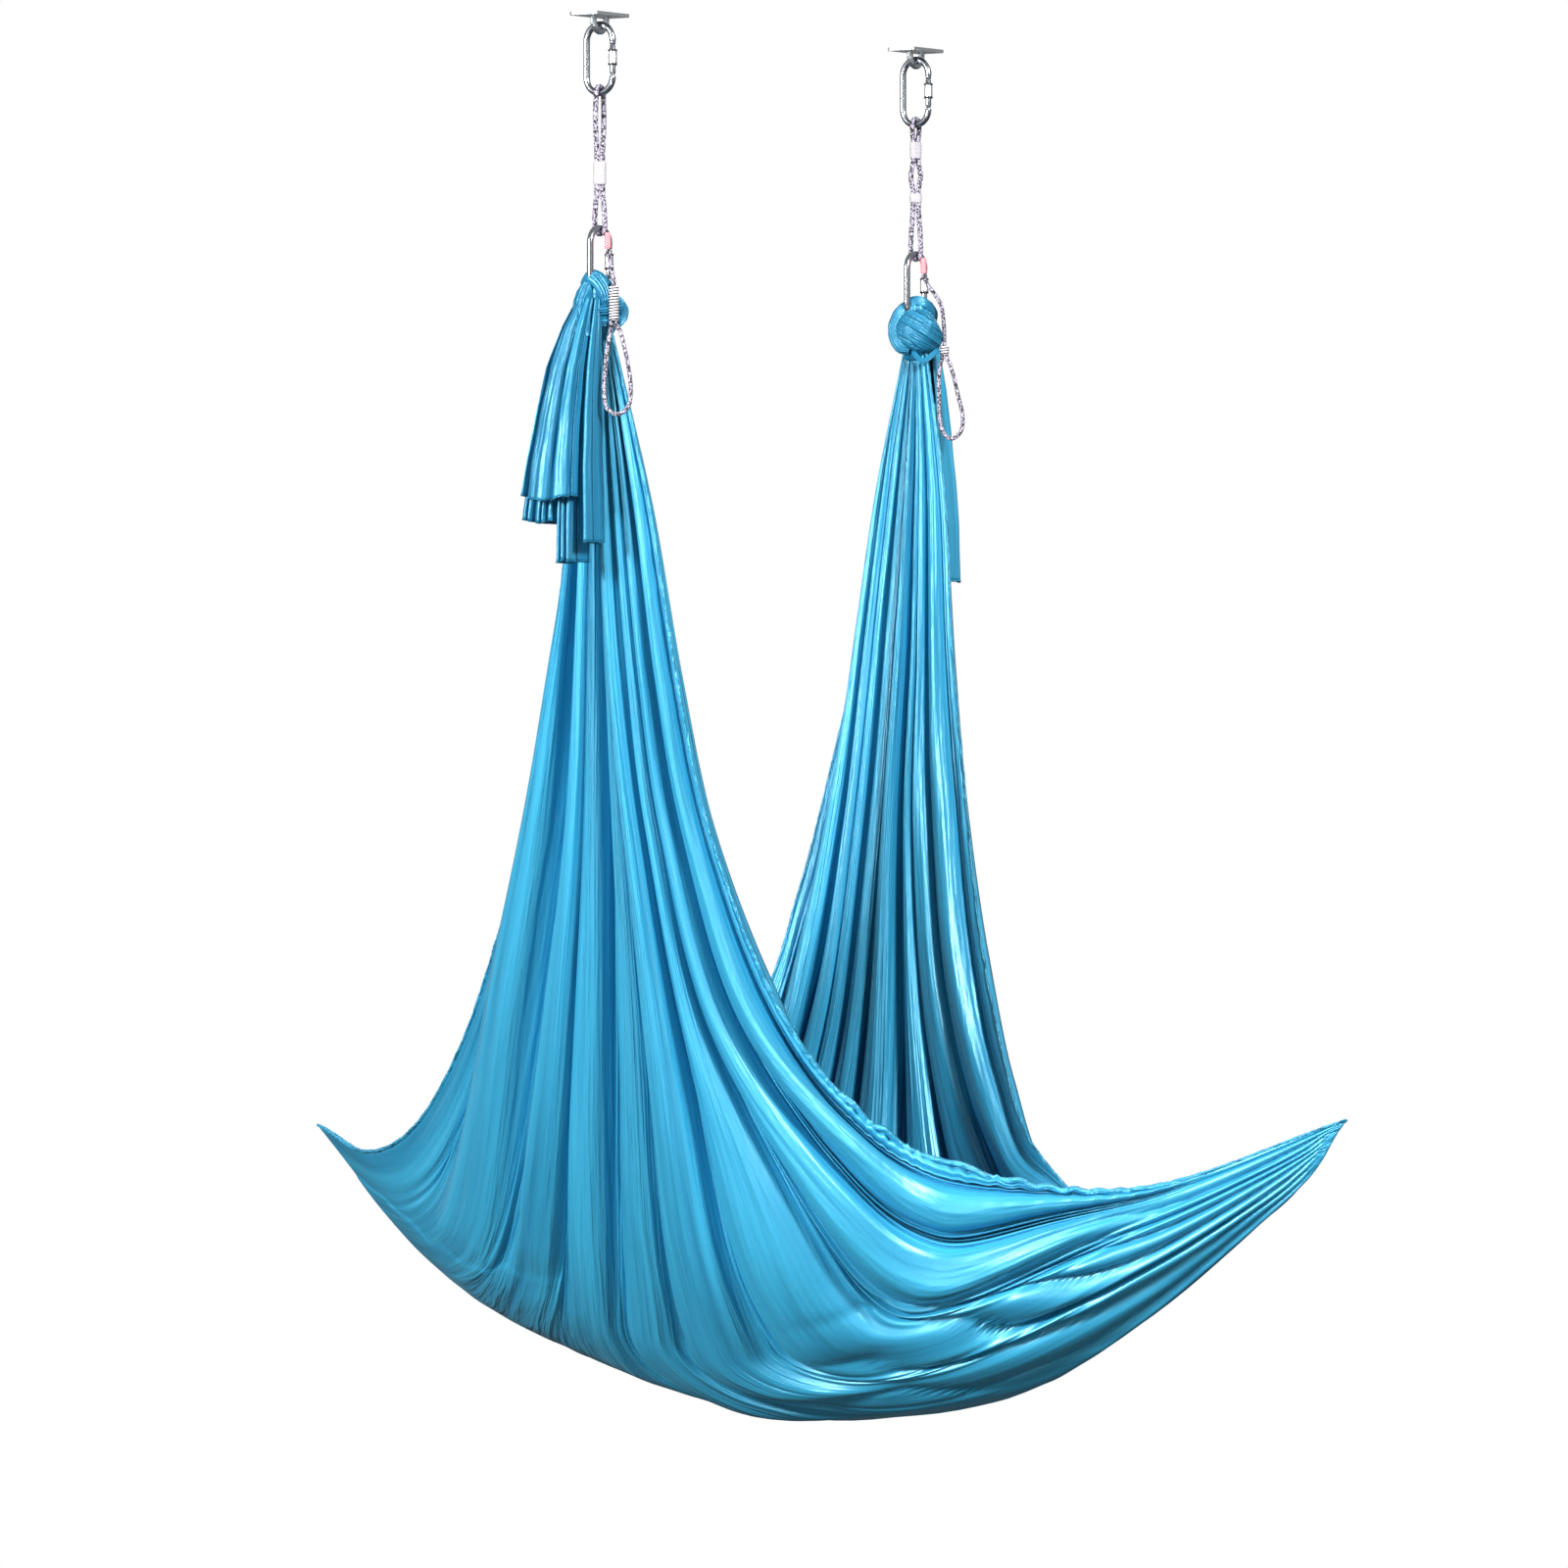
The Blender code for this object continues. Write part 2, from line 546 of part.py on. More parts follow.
# Guide lines of the cloth, knot to cradle, as shares of its half width (x) and of its drop (z)
HEM_EASE_SHARE = 0.2
SLOPE_STEP_SHARE = 0.004
ACROSS_SHARES = (0.0, 0.12, 0.25, 0.50, 0.62, 0.76, 1.0)
FORWARD_SHARES = (1.0, 0.97, 0.92, 0.84, 0.72, 0.56, 0.37, 0.18, 0.0)
FRONT_X_SHARES = (
    (-0.019, -0.072, -0.119, -0.186, -0.310, -0.455, -0.630, -0.816, -1.0),
    (-0.015, -0.051, -0.088, -0.149, -0.257, -0.373, -0.502, -0.633, -0.76),
    (-0.010, -0.030, -0.057, -0.108, -0.195, -0.279, -0.358, -0.433, -0.5),
    (0.0, 0.0, -0.010, -0.030, -0.050, -0.060, -0.050, -0.030, 0.0),
    (0.004, 0.010, 0.012, 0.015, 0.041, 0.088, 0.176, 0.325, 0.450),
    (0.010, 0.030, 0.045, 0.055, 0.103, 0.249, 0.375, 0.630, 0.860),
    (0.019, 0.085, 0.114, 0.143, 0.209, 0.277, 0.402, 0.677, 1.0),
)
BACK_X_SHARES = (
    (-0.019, -0.060, -0.085, -0.122, -0.172, -0.228, -0.393, -0.780, -1.0),
    (-0.015, -0.044, -0.066, -0.098, -0.148, -0.213, -0.353, -0.568, -0.76),
    (-0.010, -0.028, -0.045, -0.070, -0.110, -0.180, -0.290, -0.410, -0.5),
    (0.0, 0.0, -0.005, -0.010, -0.020, -0.030, -0.030, -0.020, 0.0),
    (0.004, 0.010, 0.012, 0.015, 0.041, 0.088, 0.176, 0.325, 0.450),
    (0.010, 0.028, 0.040, 0.055, 0.100, 0.200, 0.360, 0.620, 0.860),
    (0.019, 0.062, 0.086, 0.124, 0.176, 0.248, 0.354, 0.575, 1.0),
)
FRONT_Z_SHARES = (
    (0.0, 0.170, 0.290, 0.410, 0.545, 0.655, 0.734, 0.763, 0.741),
    (0.0, 0.135, 0.271, 0.429, 0.600, 0.745, 0.840, 0.868, 0.864),
    (0.0, 0.105, 0.255, 0.445, 0.640, 0.790, 0.885, 0.924, 0.937),
    (0.0, 0.103, 0.252, 0.444, 0.651, 0.823, 0.934, 0.986, 1.0),
    (0.0, 0.115, 0.270, 0.448, 0.655, 0.840, 0.936, 0.968, 0.963),
    (0.0, 0.140, 0.300, 0.452, 0.635, 0.795, 0.869, 0.852, 0.803),
    (0.0, 0.170, 0.320, 0.458, 0.602, 0.691, 0.752, 0.777, 0.7125),
)
BACK_Z_SHARES = (
    (0.0, 0.146, 0.260, 0.374, 0.512, 0.6265, 0.718, 0.795, 0.741),
    (0.0, 0.124, 0.258, 0.412, 0.582, 0.728, 0.832, 0.866, 0.864),
    (0.0, 0.105, 0.255, 0.445, 0.640, 0.790, 0.885, 0.924, 0.937),
    (0.0, 0.103, 0.252, 0.444, 0.651, 0.823, 0.934, 0.986, 1.0),
    (0.0, 0.115, 0.270, 0.448, 0.655, 0.840, 0.936, 0.968, 0.963),
    (0.0, 0.140, 0.300, 0.452, 0.635, 0.795, 0.869, 0.852, 0.803),
    (0.0, 0.146, 0.290, 0.414, 0.542, 0.6504, 0.7500, 0.803, 0.7125),
)
FOLD_DEPTH_SHARES = (0.30, 0.75, 1.0, 1.0, 1.0, 0.85, 0.6, 0.4, 0.3)


def across_value(tables, u, t):
    """Value between the guide lines: a smooth curve across them at one station."""
    values = [curve_through(table, t) for table in tables]
    spots = ACROSS_SHARES
    i = 0
    while i < len(spots) - 2 and u > spots[i + 1]:
        i += 1

    def slope(k):
        low, high = max(k - 1, 0), min(k + 1, len(spots) - 1)
        return (values[high] - values[low]) / (spots[high] - spots[low])
    width = spots[i + 1] - spots[i]
    s = (u - spots[i]) / width
    a, b = values[i], values[i + 1]
    return ((2 * s ** 3 - 3 * s ** 2 + 1) * a + (s ** 3 - 2 * s ** 2 + s) * width * slope(i)
            + (3 * s ** 2 - 2 * s ** 3) * b + (s ** 3 - s ** 2) * width * slope(i + 1))


def sling_point(u, v):
    """Point of the unfolded cloth surface: u from hem to hem, v from knot A (0) to knot B (2)."""
    front = v <= 1
    t = v if front else 2 - v
    x = across_value(FRONT_X_SHARES if front else BACK_X_SHARES, u, t)
    z = across_value(FRONT_Z_SHARES if front else BACK_Z_SHARES, u, t)
    seat = CRADLE_OFFSET + (TIP_OFFSET - CRADLE_OFFSET) * (across_value(FRONT_X_SHARES, u, 1)) ** 2
    reach = curve_through(FORWARD_SHARES, t)
    hang = -HANG_OFFSET if front else HANG_OFFSET
    y = seat + (hang - seat) * reach
    return Vector((x * CLOTH_HALF_WIDTH, y + HANG_OFFSET, -BUNDLE_START - z * DROP))


def fold_height(u, v):
    """How far the main folds stand out of the surface."""
    t = v if v <= 1 else 2 - v
    depth = FOLD_DEPTH * curve_through(FOLD_DEPTH_SHARES, t)
    edge = min(1.0, u / HEM_EASE_SHARE, (1 - u) / HEM_EASE_SHARE) if t > 0.5 else 1.0
    return depth / 2 * edge * math.cos(math.tau * FOLD_COUNT * u)


def make_sling(anchor):
    """The main cloth from knot to knot, with its main folds."""
    step = SLOPE_STEP_SHARE
    rows = []
    for i in range(PANEL_ROWS * 2 + 1):
        v = i / PANEL_ROWS
        row = []
        for j in range(FOLD_COLUMNS + 1):
            u = j / FOLD_COLUMNS
            point = sling_point(u, v)
            along_u = sling_point(min(u + step, 1), v) - sling_point(max(u - step, 0), v)
            along_v = sling_point(u, min(v + step, 2)) - sling_point(u, max(v - step, 0))
            normal = along_u.cross(along_v)
            if normal.length > 0:
                point += normal.normalized() * fold_height(u, v)
            row.append(tuple(point))
        rows.append(row)
    cloth_solid("cloth_sling", rows, anchor)


def make_side(side, y, strands, binding_shares, ear_turn, cord):
    """Everything that hangs on one ceiling eye, apart from the tail and the sling."""
    anchor = empty(f"hang_point_{side}", (0, y, 0))
    make_plate(side, anchor)
    swing = empty(f"side_swing_axis_{side}", (0, 0, -EYE_DEPTH), anchor)
    make_carabiner(f"upper_carabiner_{side}", swing, (0, 0, EYE_DEPTH - UPPER_CENTRE), 0.0, STEEL)
    make_rope(side, anchor, strands, binding_shares)
    make_carabiner(f"lower_carabiner_{side}", anchor, (0, 0, -LOWER_CENTRE), QUARTER, STEEL)
    make_knot(side, anchor, ear_turn)
    make_rope_end(side, anchor, *cord)
    return anchor


# The two strands of each chain: shares of the run, half spacings and turns about Z
ROPE_A_SHARES = (0.0, 0.475, 0.709, 1.0)
ROPE_B_SHARES = (0.0, 0.123, 0.272, 0.401, 0.520, 0.619, 1.0)
STRANDS_A = (ROPE_A_SHARES, (WRAP_RADIUS, BOUND_SPACING, BOUND_SPACING, WRAP_RADIUS),
             (QUARTER, VIEW_TURN, VIEW_TURN, 0.0))
STRANDS_B = (ROPE_B_SHARES, (WRAP_RADIUS, BOUND_SPACING, BOUND_SPACING, BULGE_HALF_SPACING,
                             BOUND_SPACING, BOUND_SPACING, WRAP_RADIUS),
             (QUARTER, math.pi / 3, math.pi / 3, VIEW_TURN, VIEW_TURN, VIEW_TURN, 0.0))
BINDING_A_SHARES = ((0.510, 0.679),)
BINDING_B_SHARES = ((0.133, 0.262), (0.535, 0.604))

# The cords' own routes, chosen by hand, from the lower carabiner's top. A link ends on its whip.
LINK_ROUTE_A = [(0.0215, -0.0030, -0.0513), (0.0285, -0.0075, -0.0673), (0.0345, -0.0115, -0.0803),
                (0.0396, -0.0185, -0.0888)]
LOOP_A = [(0.0345, -0.0200, -0.1573), (0.0340, -0.0270, -0.1793), (0.0370, -0.0360, -0.2093),
          (0.0400, -0.0440, -0.2443), (0.0480, -0.0480, -0.2713), (0.0620, -0.0400, -0.2813),
          (0.0740, -0.0290, -0.2693), (0.0740, -0.0230, -0.2423), (0.0650, -0.0170, -0.2093),
          (0.0540, -0.0120, -0.1793), (0.0460, -0.0110, -0.1573)]
LINK_ROUTE_B = [(0.0225, 0.0020, -0.0513), (0.0330, 0.0050, -0.0653), (0.0425, 0.0090, -0.0843),
                (0.0455, 0.0115, -0.1143), (0.0455, 0.0130, -0.1453)]
LOOP_B = [(0.0420, 0.0080, -0.1733), (0.0410, 0.0040, -0.1943), (0.0440, 0.0000, -0.2243),
          (0.0480, -0.0040, -0.2593), (0.0560, -0.0040, -0.2833), (0.0680, 0.0020, -0.2913),
          (0.0790, 0.0100, -0.2793), (0.0790, 0.0140, -0.2543), (0.0700, 0.0150, -0.2243),
          (0.0610, 0.0160, -0.1943), (0.0530, 0.0170, -0.1733)]

side_a = make_side("a", 0.0, STRANDS_A, BINDING_A_SHARES, VIEW_TURN,
                   (LINK_ROUTE_A, WHIP_LENGTH_A, LOOP_A))
side_b = make_side("b", EYE_SPACING, STRANDS_B, BINDING_B_SHARES, math.pi + VIEW_TURN,
                   (LINK_ROUTE_B, WHIP_LENGTH_B, LOOP_B))
make_tail("a", side_a, -1, TAIL_LENGTH_A, TAIL_HALF_WIDTH_A, TAIL_SHIFT_A)
make_tail("b", side_b, 1, TAIL_LENGTH_B, TAIL_HALF_WIDTH_B, TAIL_SHIFT_B)
make_sling(side_a)
for item in PARTS.objects:
    smooth(item)
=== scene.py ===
# %% [markdown]
# # An aerial hammock
# One long piece of stretch nylon is tied at each end to a steel carabiner, and each carabiner
# hangs on a doubled cord from the ceiling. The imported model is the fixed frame, and this file
# dresses it: every piece made here rides on one of its bodies.

import math

import bmesh
import bpy
import numpy as np
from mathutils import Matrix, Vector


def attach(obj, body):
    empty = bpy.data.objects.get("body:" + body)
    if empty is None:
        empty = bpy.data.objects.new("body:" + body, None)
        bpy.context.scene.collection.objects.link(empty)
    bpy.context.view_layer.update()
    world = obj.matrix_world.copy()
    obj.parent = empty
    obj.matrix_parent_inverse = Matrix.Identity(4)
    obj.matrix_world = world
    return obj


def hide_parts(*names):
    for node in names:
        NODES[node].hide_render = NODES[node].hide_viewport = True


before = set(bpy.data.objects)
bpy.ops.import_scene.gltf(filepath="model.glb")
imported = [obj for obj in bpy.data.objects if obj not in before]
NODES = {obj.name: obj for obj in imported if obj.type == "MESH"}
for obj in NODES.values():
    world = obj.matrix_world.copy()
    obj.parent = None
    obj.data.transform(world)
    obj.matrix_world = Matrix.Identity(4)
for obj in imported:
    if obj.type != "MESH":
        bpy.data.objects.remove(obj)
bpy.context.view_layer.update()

# %% [markdown]
# ## Where the eye stands
# A hammock this tall is photographed from far away with a long lens, so that its two hanging
# points look level. The camera stands 14.5 m off, turned 35 degrees to one side.

# %% Camera
EYE_SPACING = 0.84
VIEW_TURN = math.radians(35)
CAMERA_DISTANCE = 14.5
CAMERA_SHIFT = 0.0345
RIGHT = Vector((math.cos(VIEW_TURN), math.sin(VIEW_TURN), 0))
AWAY = Vector((-math.sin(VIEW_TURN), math.cos(VIEW_TURN), 0))
CENTRE = Vector((0, EYE_SPACING / 2, -1.152))

lens = bpy.data.cameras.new("camera")
lens.lens = 217.5
lens.sensor_width = 36
lens.clip_end = 60
camera = bpy.data.objects.new("camera", lens)
bpy.context.scene.collection.objects.link(camera)
camera.location = CENTRE + RIGHT * CAMERA_SHIFT - AWAY * CAMERA_DISTANCE
camera.rotation_euler = AWAY.to_track_quat("-Z", "Y").to_euler()
bpy.context.scene.camera = camera
bpy.context.scene.view_settings.view_transform = "Standard"

# %% [markdown]
# ## Helpers for shapes
# Cloth is a grid of points, and rope is a ring of points carried along a line. Both are worked
# out with numpy, because a few hundred thousand points would be slow to place one by one.


# %% A sheet from a grid of points, and a tube from rings of points
def ease(x, low, high):
    """Rises smoothly from 0 at low to 1 at high."""
    t = np.clip((np.asarray(x, float) - low) / (high - low), 0, 1)
    return t * t * (3 - 2 * t)


def wander(x, y, seed):
    """A smooth random field from about -1 to 1: seven waves in seeded directions."""
    rng = np.random.default_rng(seed)
    total = 0
    for _ in range(7):
        angle, phase, pace = rng.random() * math.tau, rng.random() * math.tau, 0.6 + rng.random()
        total = total + np.sin((x * math.cos(angle) + y * math.sin(angle)) * pace + phase)
    return total / 7 * 1.6


def mesh_object(name, points, faces, uv, material):
    """A mesh from points and quads, with a UV map in metres of the flat material."""
    mesh = bpy.data.meshes.new(name)
    mesh.from_pydata(points.reshape(-1, 3).tolist(), [], faces)
    layer = mesh.uv_layers.new(name="flat")
    corners = np.empty(len(mesh.loops), int)
    mesh.loops.foreach_get("vertex_index", corners)
    layer.data.foreach_set("uv", uv.reshape(-1, 2)[corners].astype(np.float32).ravel())
    mesh.polygons.foreach_set("use_smooth", [True] * len(mesh.polygons))
    mesh.materials.append(material)
    made = bpy.data.objects.new(name, mesh)
    bpy.context.scene.collection.objects.link(made)
    return made


def grid_faces(rows, columns, wrap=False, loop=False):
    """Quads between a grid's points. wrap joins its last column to the first, and loop its rows."""
    index = np.arange(rows * columns).reshape(rows, columns)
    if wrap:
        index = np.hstack([index, index[:, :1]])
    if loop:
        index = np.vstack([index, index[:1]])
    quads = np.stack([index[:-1, :-1], index[:-1, 1:], index[1:, 1:], index[1:, :-1]], -1)
    return quads.reshape(-1, 4).tolist()


def thicken(item, thickness):
    """Gives a sheet its thickness, half on each side."""
    solid = item.modifiers.new("cloth_thickness", "SOLIDIFY")
    solid.thickness = thickness
    solid.offset = 0


def with_ends(rows):
    """The rows with one more at each end, in line with the last two."""
    return np.vstack([2 * rows[0] - rows[1], rows, 2 * rows[-1] - rows[-2]])


def curve(a, b, c, d, t):
    """A smooth curve from b to c as t goes from 0 to 1. a and d are the neighbours."""
    return 0.5 * (2 * b + (c - a) * t + (2 * a - 5 * b + 4 * c - d) * t * t
                  + (3 * b - a - 3 * c + d) * t ** 3)


def distances(path):
    """How far each point of a line is from its start, along the line."""
    return np.concatenate([[0], np.cumsum(np.linalg.norm(np.diff(path, axis=0), axis=1))])


def along(path, step):
    """The same line with points an even step apart, on a smooth curve through the old ones."""
    path = np.asarray(path, float)
    padded = with_ends(path)
    fine = [curve(*padded[i:i + 4], t)
            for i in range(len(path) - 1) for t in np.linspace(0, 1, 12, endpoint=False)]
    fine = np.array(fine + [path[-1]])
    reach = distances(fine)
    spots = np.linspace(0, reach[-1], max(3, int(round(reach[-1] / step)) + 1))
    return np.stack([np.interp(spots, reach, fine[:, k]) for k in range(3)], 1)


def turned_by(angle, x, y):
    """x and y after a turn about the vertical."""
    return x * math.cos(angle) - y * math.sin(angle), x * math.sin(angle) + y * math.cos(angle)


def tube_rings(path, sides, radius, loop=False):
    """Rings of points round a line. radius is a function of distance and angle, in metres."""
    path = np.asarray(path, float)
    step = np.roll(path, -1, 0) - np.roll(path, 1, 0) if loop else np.gradient(path, axis=0)
    tangent = step / np.linalg.norm(step, axis=1)[:, None]
    normal = np.empty_like(path)
    guess = np.cross(tangent[0], (0, 1, 0) if abs(tangent[0][1]) < 0.9 else (1, 0, 0))
    for i, way in enumerate(tangent):
        guess = guess - way * (guess @ way)
        guess = guess / np.linalg.norm(guess)
        normal[i] = guess
    side = np.cross(tangent, normal)
    if loop:
        end = guess - tangent[0] * (guess @ tangent[0])
        slip = math.atan2(end @ side[0], end @ normal[0])
        turn = -slip * np.arange(len(path))[:, None] / len(path)
        normal, side = (normal * np.cos(turn) + side * np.sin(turn),
                        side * np.cos(turn) - normal * np.sin(turn))
    gone = distances(path)
    theta = np.linspace(0, math.tau, sides, endpoint=False)
    size = radius(gone[:, None], theta[None, :]) * np.ones((len(path), sides))
    across = (size * np.cos(theta))[..., None] * normal[:, None]
    points = path[:, None] + across + (size * np.sin(theta))[..., None] * side[:, None]
    uv = np.stack(np.broadcast_arrays(gone[:, None], theta[None, :] / math.tau), -1)
    return points, uv


def closed(name, points, uv, material, loop=False):
    """A closed mesh from rings of points, with a face over each end unless it's a loop."""
    rings, sides = points.shape[:2]
    faces = grid_faces(rings, sides, wrap=True, loop=loop)
    if not loop:
        faces.append(list(range(sides))[::-1])
        faces.append([(rings - 1) * sides + i for i in range(sides)])
    made = mesh_object(name, points, faces, uv, material)
    shape = bmesh.new()
    shape.from_mesh(made.data)
    bmesh.ops.recalc_face_normals(shape, faces=shape.faces)
    shape.to_mesh(made.data)
    shape.free()
    return made


def tube(name, path, sides, radius, material, loop=False):
    """A closed tube along a line."""
    return closed(name, *tube_rings(path, sides, radius, loop), material, loop)


def fit(piece, body, node=None):
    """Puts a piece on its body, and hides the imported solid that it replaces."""
    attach(piece, body)
    if node:
        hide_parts(node)


# %% [markdown]
# ## Helpers for materials
# A colour is written as the hex code that a screen shows, and turned to the linear values that
# the shader works in. One function adds a node with its settings and its links.


# %% Colours and nodes
def colour(code):
    """Linear red, green, blue and alpha from a hex code."""
    parts = [int(code[i:i + 2], 16) / 255 for i in (1, 3, 5)]
    return tuple(v / 12.92 if v <= 0.04045 else ((v + 0.055) / 1.055) ** 2.4 for v in parts) + (1,)


def add(tree, kind, settings=None, inputs=None):
    """Adds a node. An input's value is a number, a colour, or the socket or node that feeds it."""
    made = tree.nodes.new("ShaderNode" + kind)
    for name, value in (settings or {}).items():
        setattr(made, name, value)
    for name, value in (inputs or {}).items():
        if isinstance(value, bpy.types.Node):
            value = value.outputs[0]
        if isinstance(value, bpy.types.NodeSocket):
            tree.links.new(value, made.inputs[name])
        else:
            made.inputs[name].default_value = value
    return made


def start_material(name, **values):
    """A material with its Principled shader's own sockets set."""
    made = bpy.data.materials.new(name)
    made.use_nodes = True
    shader = made.node_tree.nodes["Principled BSDF"]
    for key, value in values.items():
        shader.inputs[key.replace("_", " ").title().replace("Ior", "IOR")].default_value = value
    return made, made.node_tree, shader


def start_thread(name, roughness):
    """A material for cord and thread, and the places along and round it that its pattern needs."""
    made, tree, shader = start_material(name, roughness=roughness)
    flat = add(tree, "UVMap", {"uv_map": "flat"})
    parts = add(tree, "SeparateXYZ", {}, {"Vector": flat})
    return made, tree, shader, parts.outputs["X"], parts.outputs["Y"]


def crossing(tree, gone, round_it, pace, starts):
    """Counts the threads of two crossing families: pace for each metre, and starts round the cord."""
    lengthways = add(tree, "Math", {"operation": "MULTIPLY"}, {0: gone, 1: pace})
    around = add(tree, "Math", {"operation": "MULTIPLY"}, {0: round_it, 1: starts})
    return [add(tree, "Math", {"operation": way}, {0: lengthways, 1: around})
            for way in ("ADD", "SUBTRACT")]


# %% [markdown]
# ## Nylon tricot
# The cloth is a warp-knitted nylon with a satin face. It is thin and smooth, so it shines in soft
# broad bands along each fold, and its shadows stay blue because light bounces between the folds.
# Its knit is far finer than a pixel, so it is only hinted at, by shallow ribs 15 mm apart. The
# attribute calm marks where the cloth is pulled flat, and takes the creases away there.

# %% Satin nylon tricot
# Radians in each metre: those of the ribs, which stand 15 mm apart, and those that the wave
# texture has at a scale of 1.
RIB_PACE = 1 / 0.0024
WAVE_PACE = 20


def tricot(name, roughness, ior, dark, light, highlight):
    """Knitted nylon with fine creases pressed into it, and painted sheen in streaks of its dye along its
    long folds.
    """
    made, tree, shader = start_material(name, roughness=roughness, ior=ior, sheen_weight=0.04,
                                        sheen_roughness=0.4, sheen_tint=colour("#9FE4FF"),
                                        specular_ior_level=0.9, specular_tint=colour(highlight))
    flat = add(tree, "UVMap", {"uv_map": "flat"})
    long_folds = add(tree, "Mapping", {}, {"Vector": flat, "Scale": (22, 1.2, 1)})
    streaks = add(tree, "TexNoise", {"noise_dimensions": "2D"},
                  {"Vector": long_folds, "Scale": 1.0, "Detail": 3.0, "Roughness": 0.55})
    # The base colour's lighter and darker streaks along the long folds are painted sheen over the real
    # dye.
    dye_with_painted_sheen = add(tree, "Mix", {"data_type": "RGBA"},
              {0: streaks.outputs["Fac"], 6: colour(dark), 7: colour(light)})
    tree.links.new(dye_with_painted_sheen.outputs[2], shader.inputs["Base Color"])
    ribs = add(tree, "TexWave", {"bands_direction": "X"},
               {"Vector": flat, "Scale": RIB_PACE / WAVE_PACE, "Distortion": 0.4, "Detail": 1.0})
    stretched = add(tree, "Mapping", {}, {"Vector": flat, "Scale": (42, 6, 1)})
    creased = add(tree, "TexNoise", {"noise_dimensions": "2D"},
                  {"Vector": stretched, "Scale": 1.0, "Detail": 4.0, "Roughness": 0.6})
    knit = add(tree, "Bump", {}, {"Strength": 0.10, "Distance": 0.0003,
                                  "Height": ribs.outputs["Fac"]})
    calm = add(tree, "Attribute", {"attribute_name": "calm"}).outputs["Fac"]
    strong = add(tree, "MapRange", {}, {"Value": calm, "To Min": 0.8, "To Max": 0.06})
    crinkled = add(tree, "Bump", {}, {"Strength": strong, "Distance": 0.003,
                                      "Height": creased.outputs["Fac"], "Normal": knit})
    drawn = add(tree, "Bump", {}, {"Strength": strong, "Distance": 0.017,
                                   "Height": streaks.outputs["Fac"], "Normal": crinkled})
    tree.links.new(drawn.outputs["Normal"], shader.inputs["Normal"])
    return made


# The cloth, and a duller copy of it whose darker colours are painted shade. Each has a roughness, an
# index of refraction, and its dark, light and highlight colours.
TRICOT = tricot("satin_nylon_tricot", 0.39, 1.85, "#035F88", "#3EB3DA", "#A4E8FF")
SHADED_TRICOT = tricot("dull_nylon_tricot_painted_shade", 0.42, 1.68, "#023F5C", "#2486AE", "#9CE0FA")

# %% [markdown]
# ## Flecked cord
# Accessory cord has a braided nylon sheath. Half of its yarns run from pale to purple grey, and
# half are nearly black, so it looks flecked. The braid's diamonds are real relief, about 3 mm long.

# %% Braided nylon cord
CORD, tree, shader, gone, round_it = start_thread("flecked_nylon_cord", 0.72)
one, two = [add(tree, "Math", {"operation": "FLOOR"}, {0: way})
            for way in crossing(tree, gone, round_it, 330.0, 8.0)]
cell = add(tree, "CombineXYZ", {}, {"X": one, "Y": two})
pick = add(tree, "TexWhiteNoise", {"noise_dimensions": "2D"}, {"Vector": cell})
dark = add(tree, "Math", {"operation": "GREATER_THAN"}, {0: pick.outputs["Value"], 1: 0.50})
purple = add(tree, "Mix", {"data_type": "RGBA"},
             {0: pick.outputs["Value"], 6: colour("#B6B0BE"), 7: colour("#6F6583")})
yarn = add(tree, "Mix", {"data_type": "RGBA"},
           {0: dark, 6: purple.outputs[2], 7: colour("#1E1926")})
tree.links.new(yarn.outputs[2], shader.inputs["Base Color"])

# %% [markdown]
# ## Twine and stitching
# Each whipping is waxed twine wound tightly round the cords, turn beside turn. On the free ends,
# black turns alternate with pale ones. The chain's end is sewn down with red thread in crossing
# rows, which is called a bar tack.

# %% Whipping twine
TURN_PITCH = 0.0012
STRIPE_PITCH = 0.0042

TWINE, tree, shader, gone, round_it = start_thread("waxed_whipping_twine", 0.55)
# Each turn is painted darker toward the groove where it meets the next: painted shade over the twine's own
# pale colour.
turns = add(tree, "Math", {"operation": "PINGPONG"}, {0: gone, 1: TURN_PITCH / 2})
painted_groove_shade_ramp = add(tree, "MapRange", {}, {"Value": turns, "From Max": TURN_PITCH / 2})
between = add(tree, "Mix", {"data_type": "RGBA"},
              {0: painted_groove_shade_ramp, 6: colour("#5A5462"), 7: colour("#DDD9DE")})
tree.links.new(between.outputs[2], shader.inputs["Base Color"])

STRIPED, tree, shader, gone, round_it = start_thread("striped_whipping_twine", 0.5)
lean = add(tree, "Math", {"operation": "MULTIPLY_ADD"}, {0: round_it, 1: STRIPE_PITCH, 2: gone})
place = add(tree, "Math", {"operation": "DIVIDE"}, {0: lean, 1: STRIPE_PITCH})
share = add(tree, "Math", {"operation": "FRACT"}, {0: place})
dark = add(tree, "Math", {"operation": "GREATER_THAN"}, {0: share, 1: 0.5})
stripe = add(tree, "Mix", {"data_type": "RGBA"},
             {0: dark, 6: colour("#DAD7DC"), 7: colour("#1C1A20")})
tree.links.new(stripe.outputs[2], shader.inputs["Base Color"])

# %% Red bar tack
STITCHED, tree, shader, gone, round_it = start_thread("red_bar_tack", 0.6)
one, two = [add(tree, "Math", {"operation": "PINGPONG"}, {0: way, 1: 0.5})
            for way in crossing(tree, gone, round_it, 260.0, 6.0)]
nearest = add(tree, "Math", {"operation": "MINIMUM"}, {0: one, 1: two})
thread = add(tree, "Math", {"operation": "LESS_THAN"}, {0: nearest, 1: 0.17})
sewn = add(tree, "Mix", {"data_type": "RGBA"},
           {0: thread, 6: colour("#EBCBD3"), 7: colour("#D4213F")})
tree.links.new(sewn.outputs[2], shader.inputs["Base Color"])

# %% [markdown]
# ## Steel
# The carabiners are bright plated steel, with a turned aluminium sleeve between black rings on
# the gate. Handling leaves the plating a little uneven, which is drawn in its roughness alone.

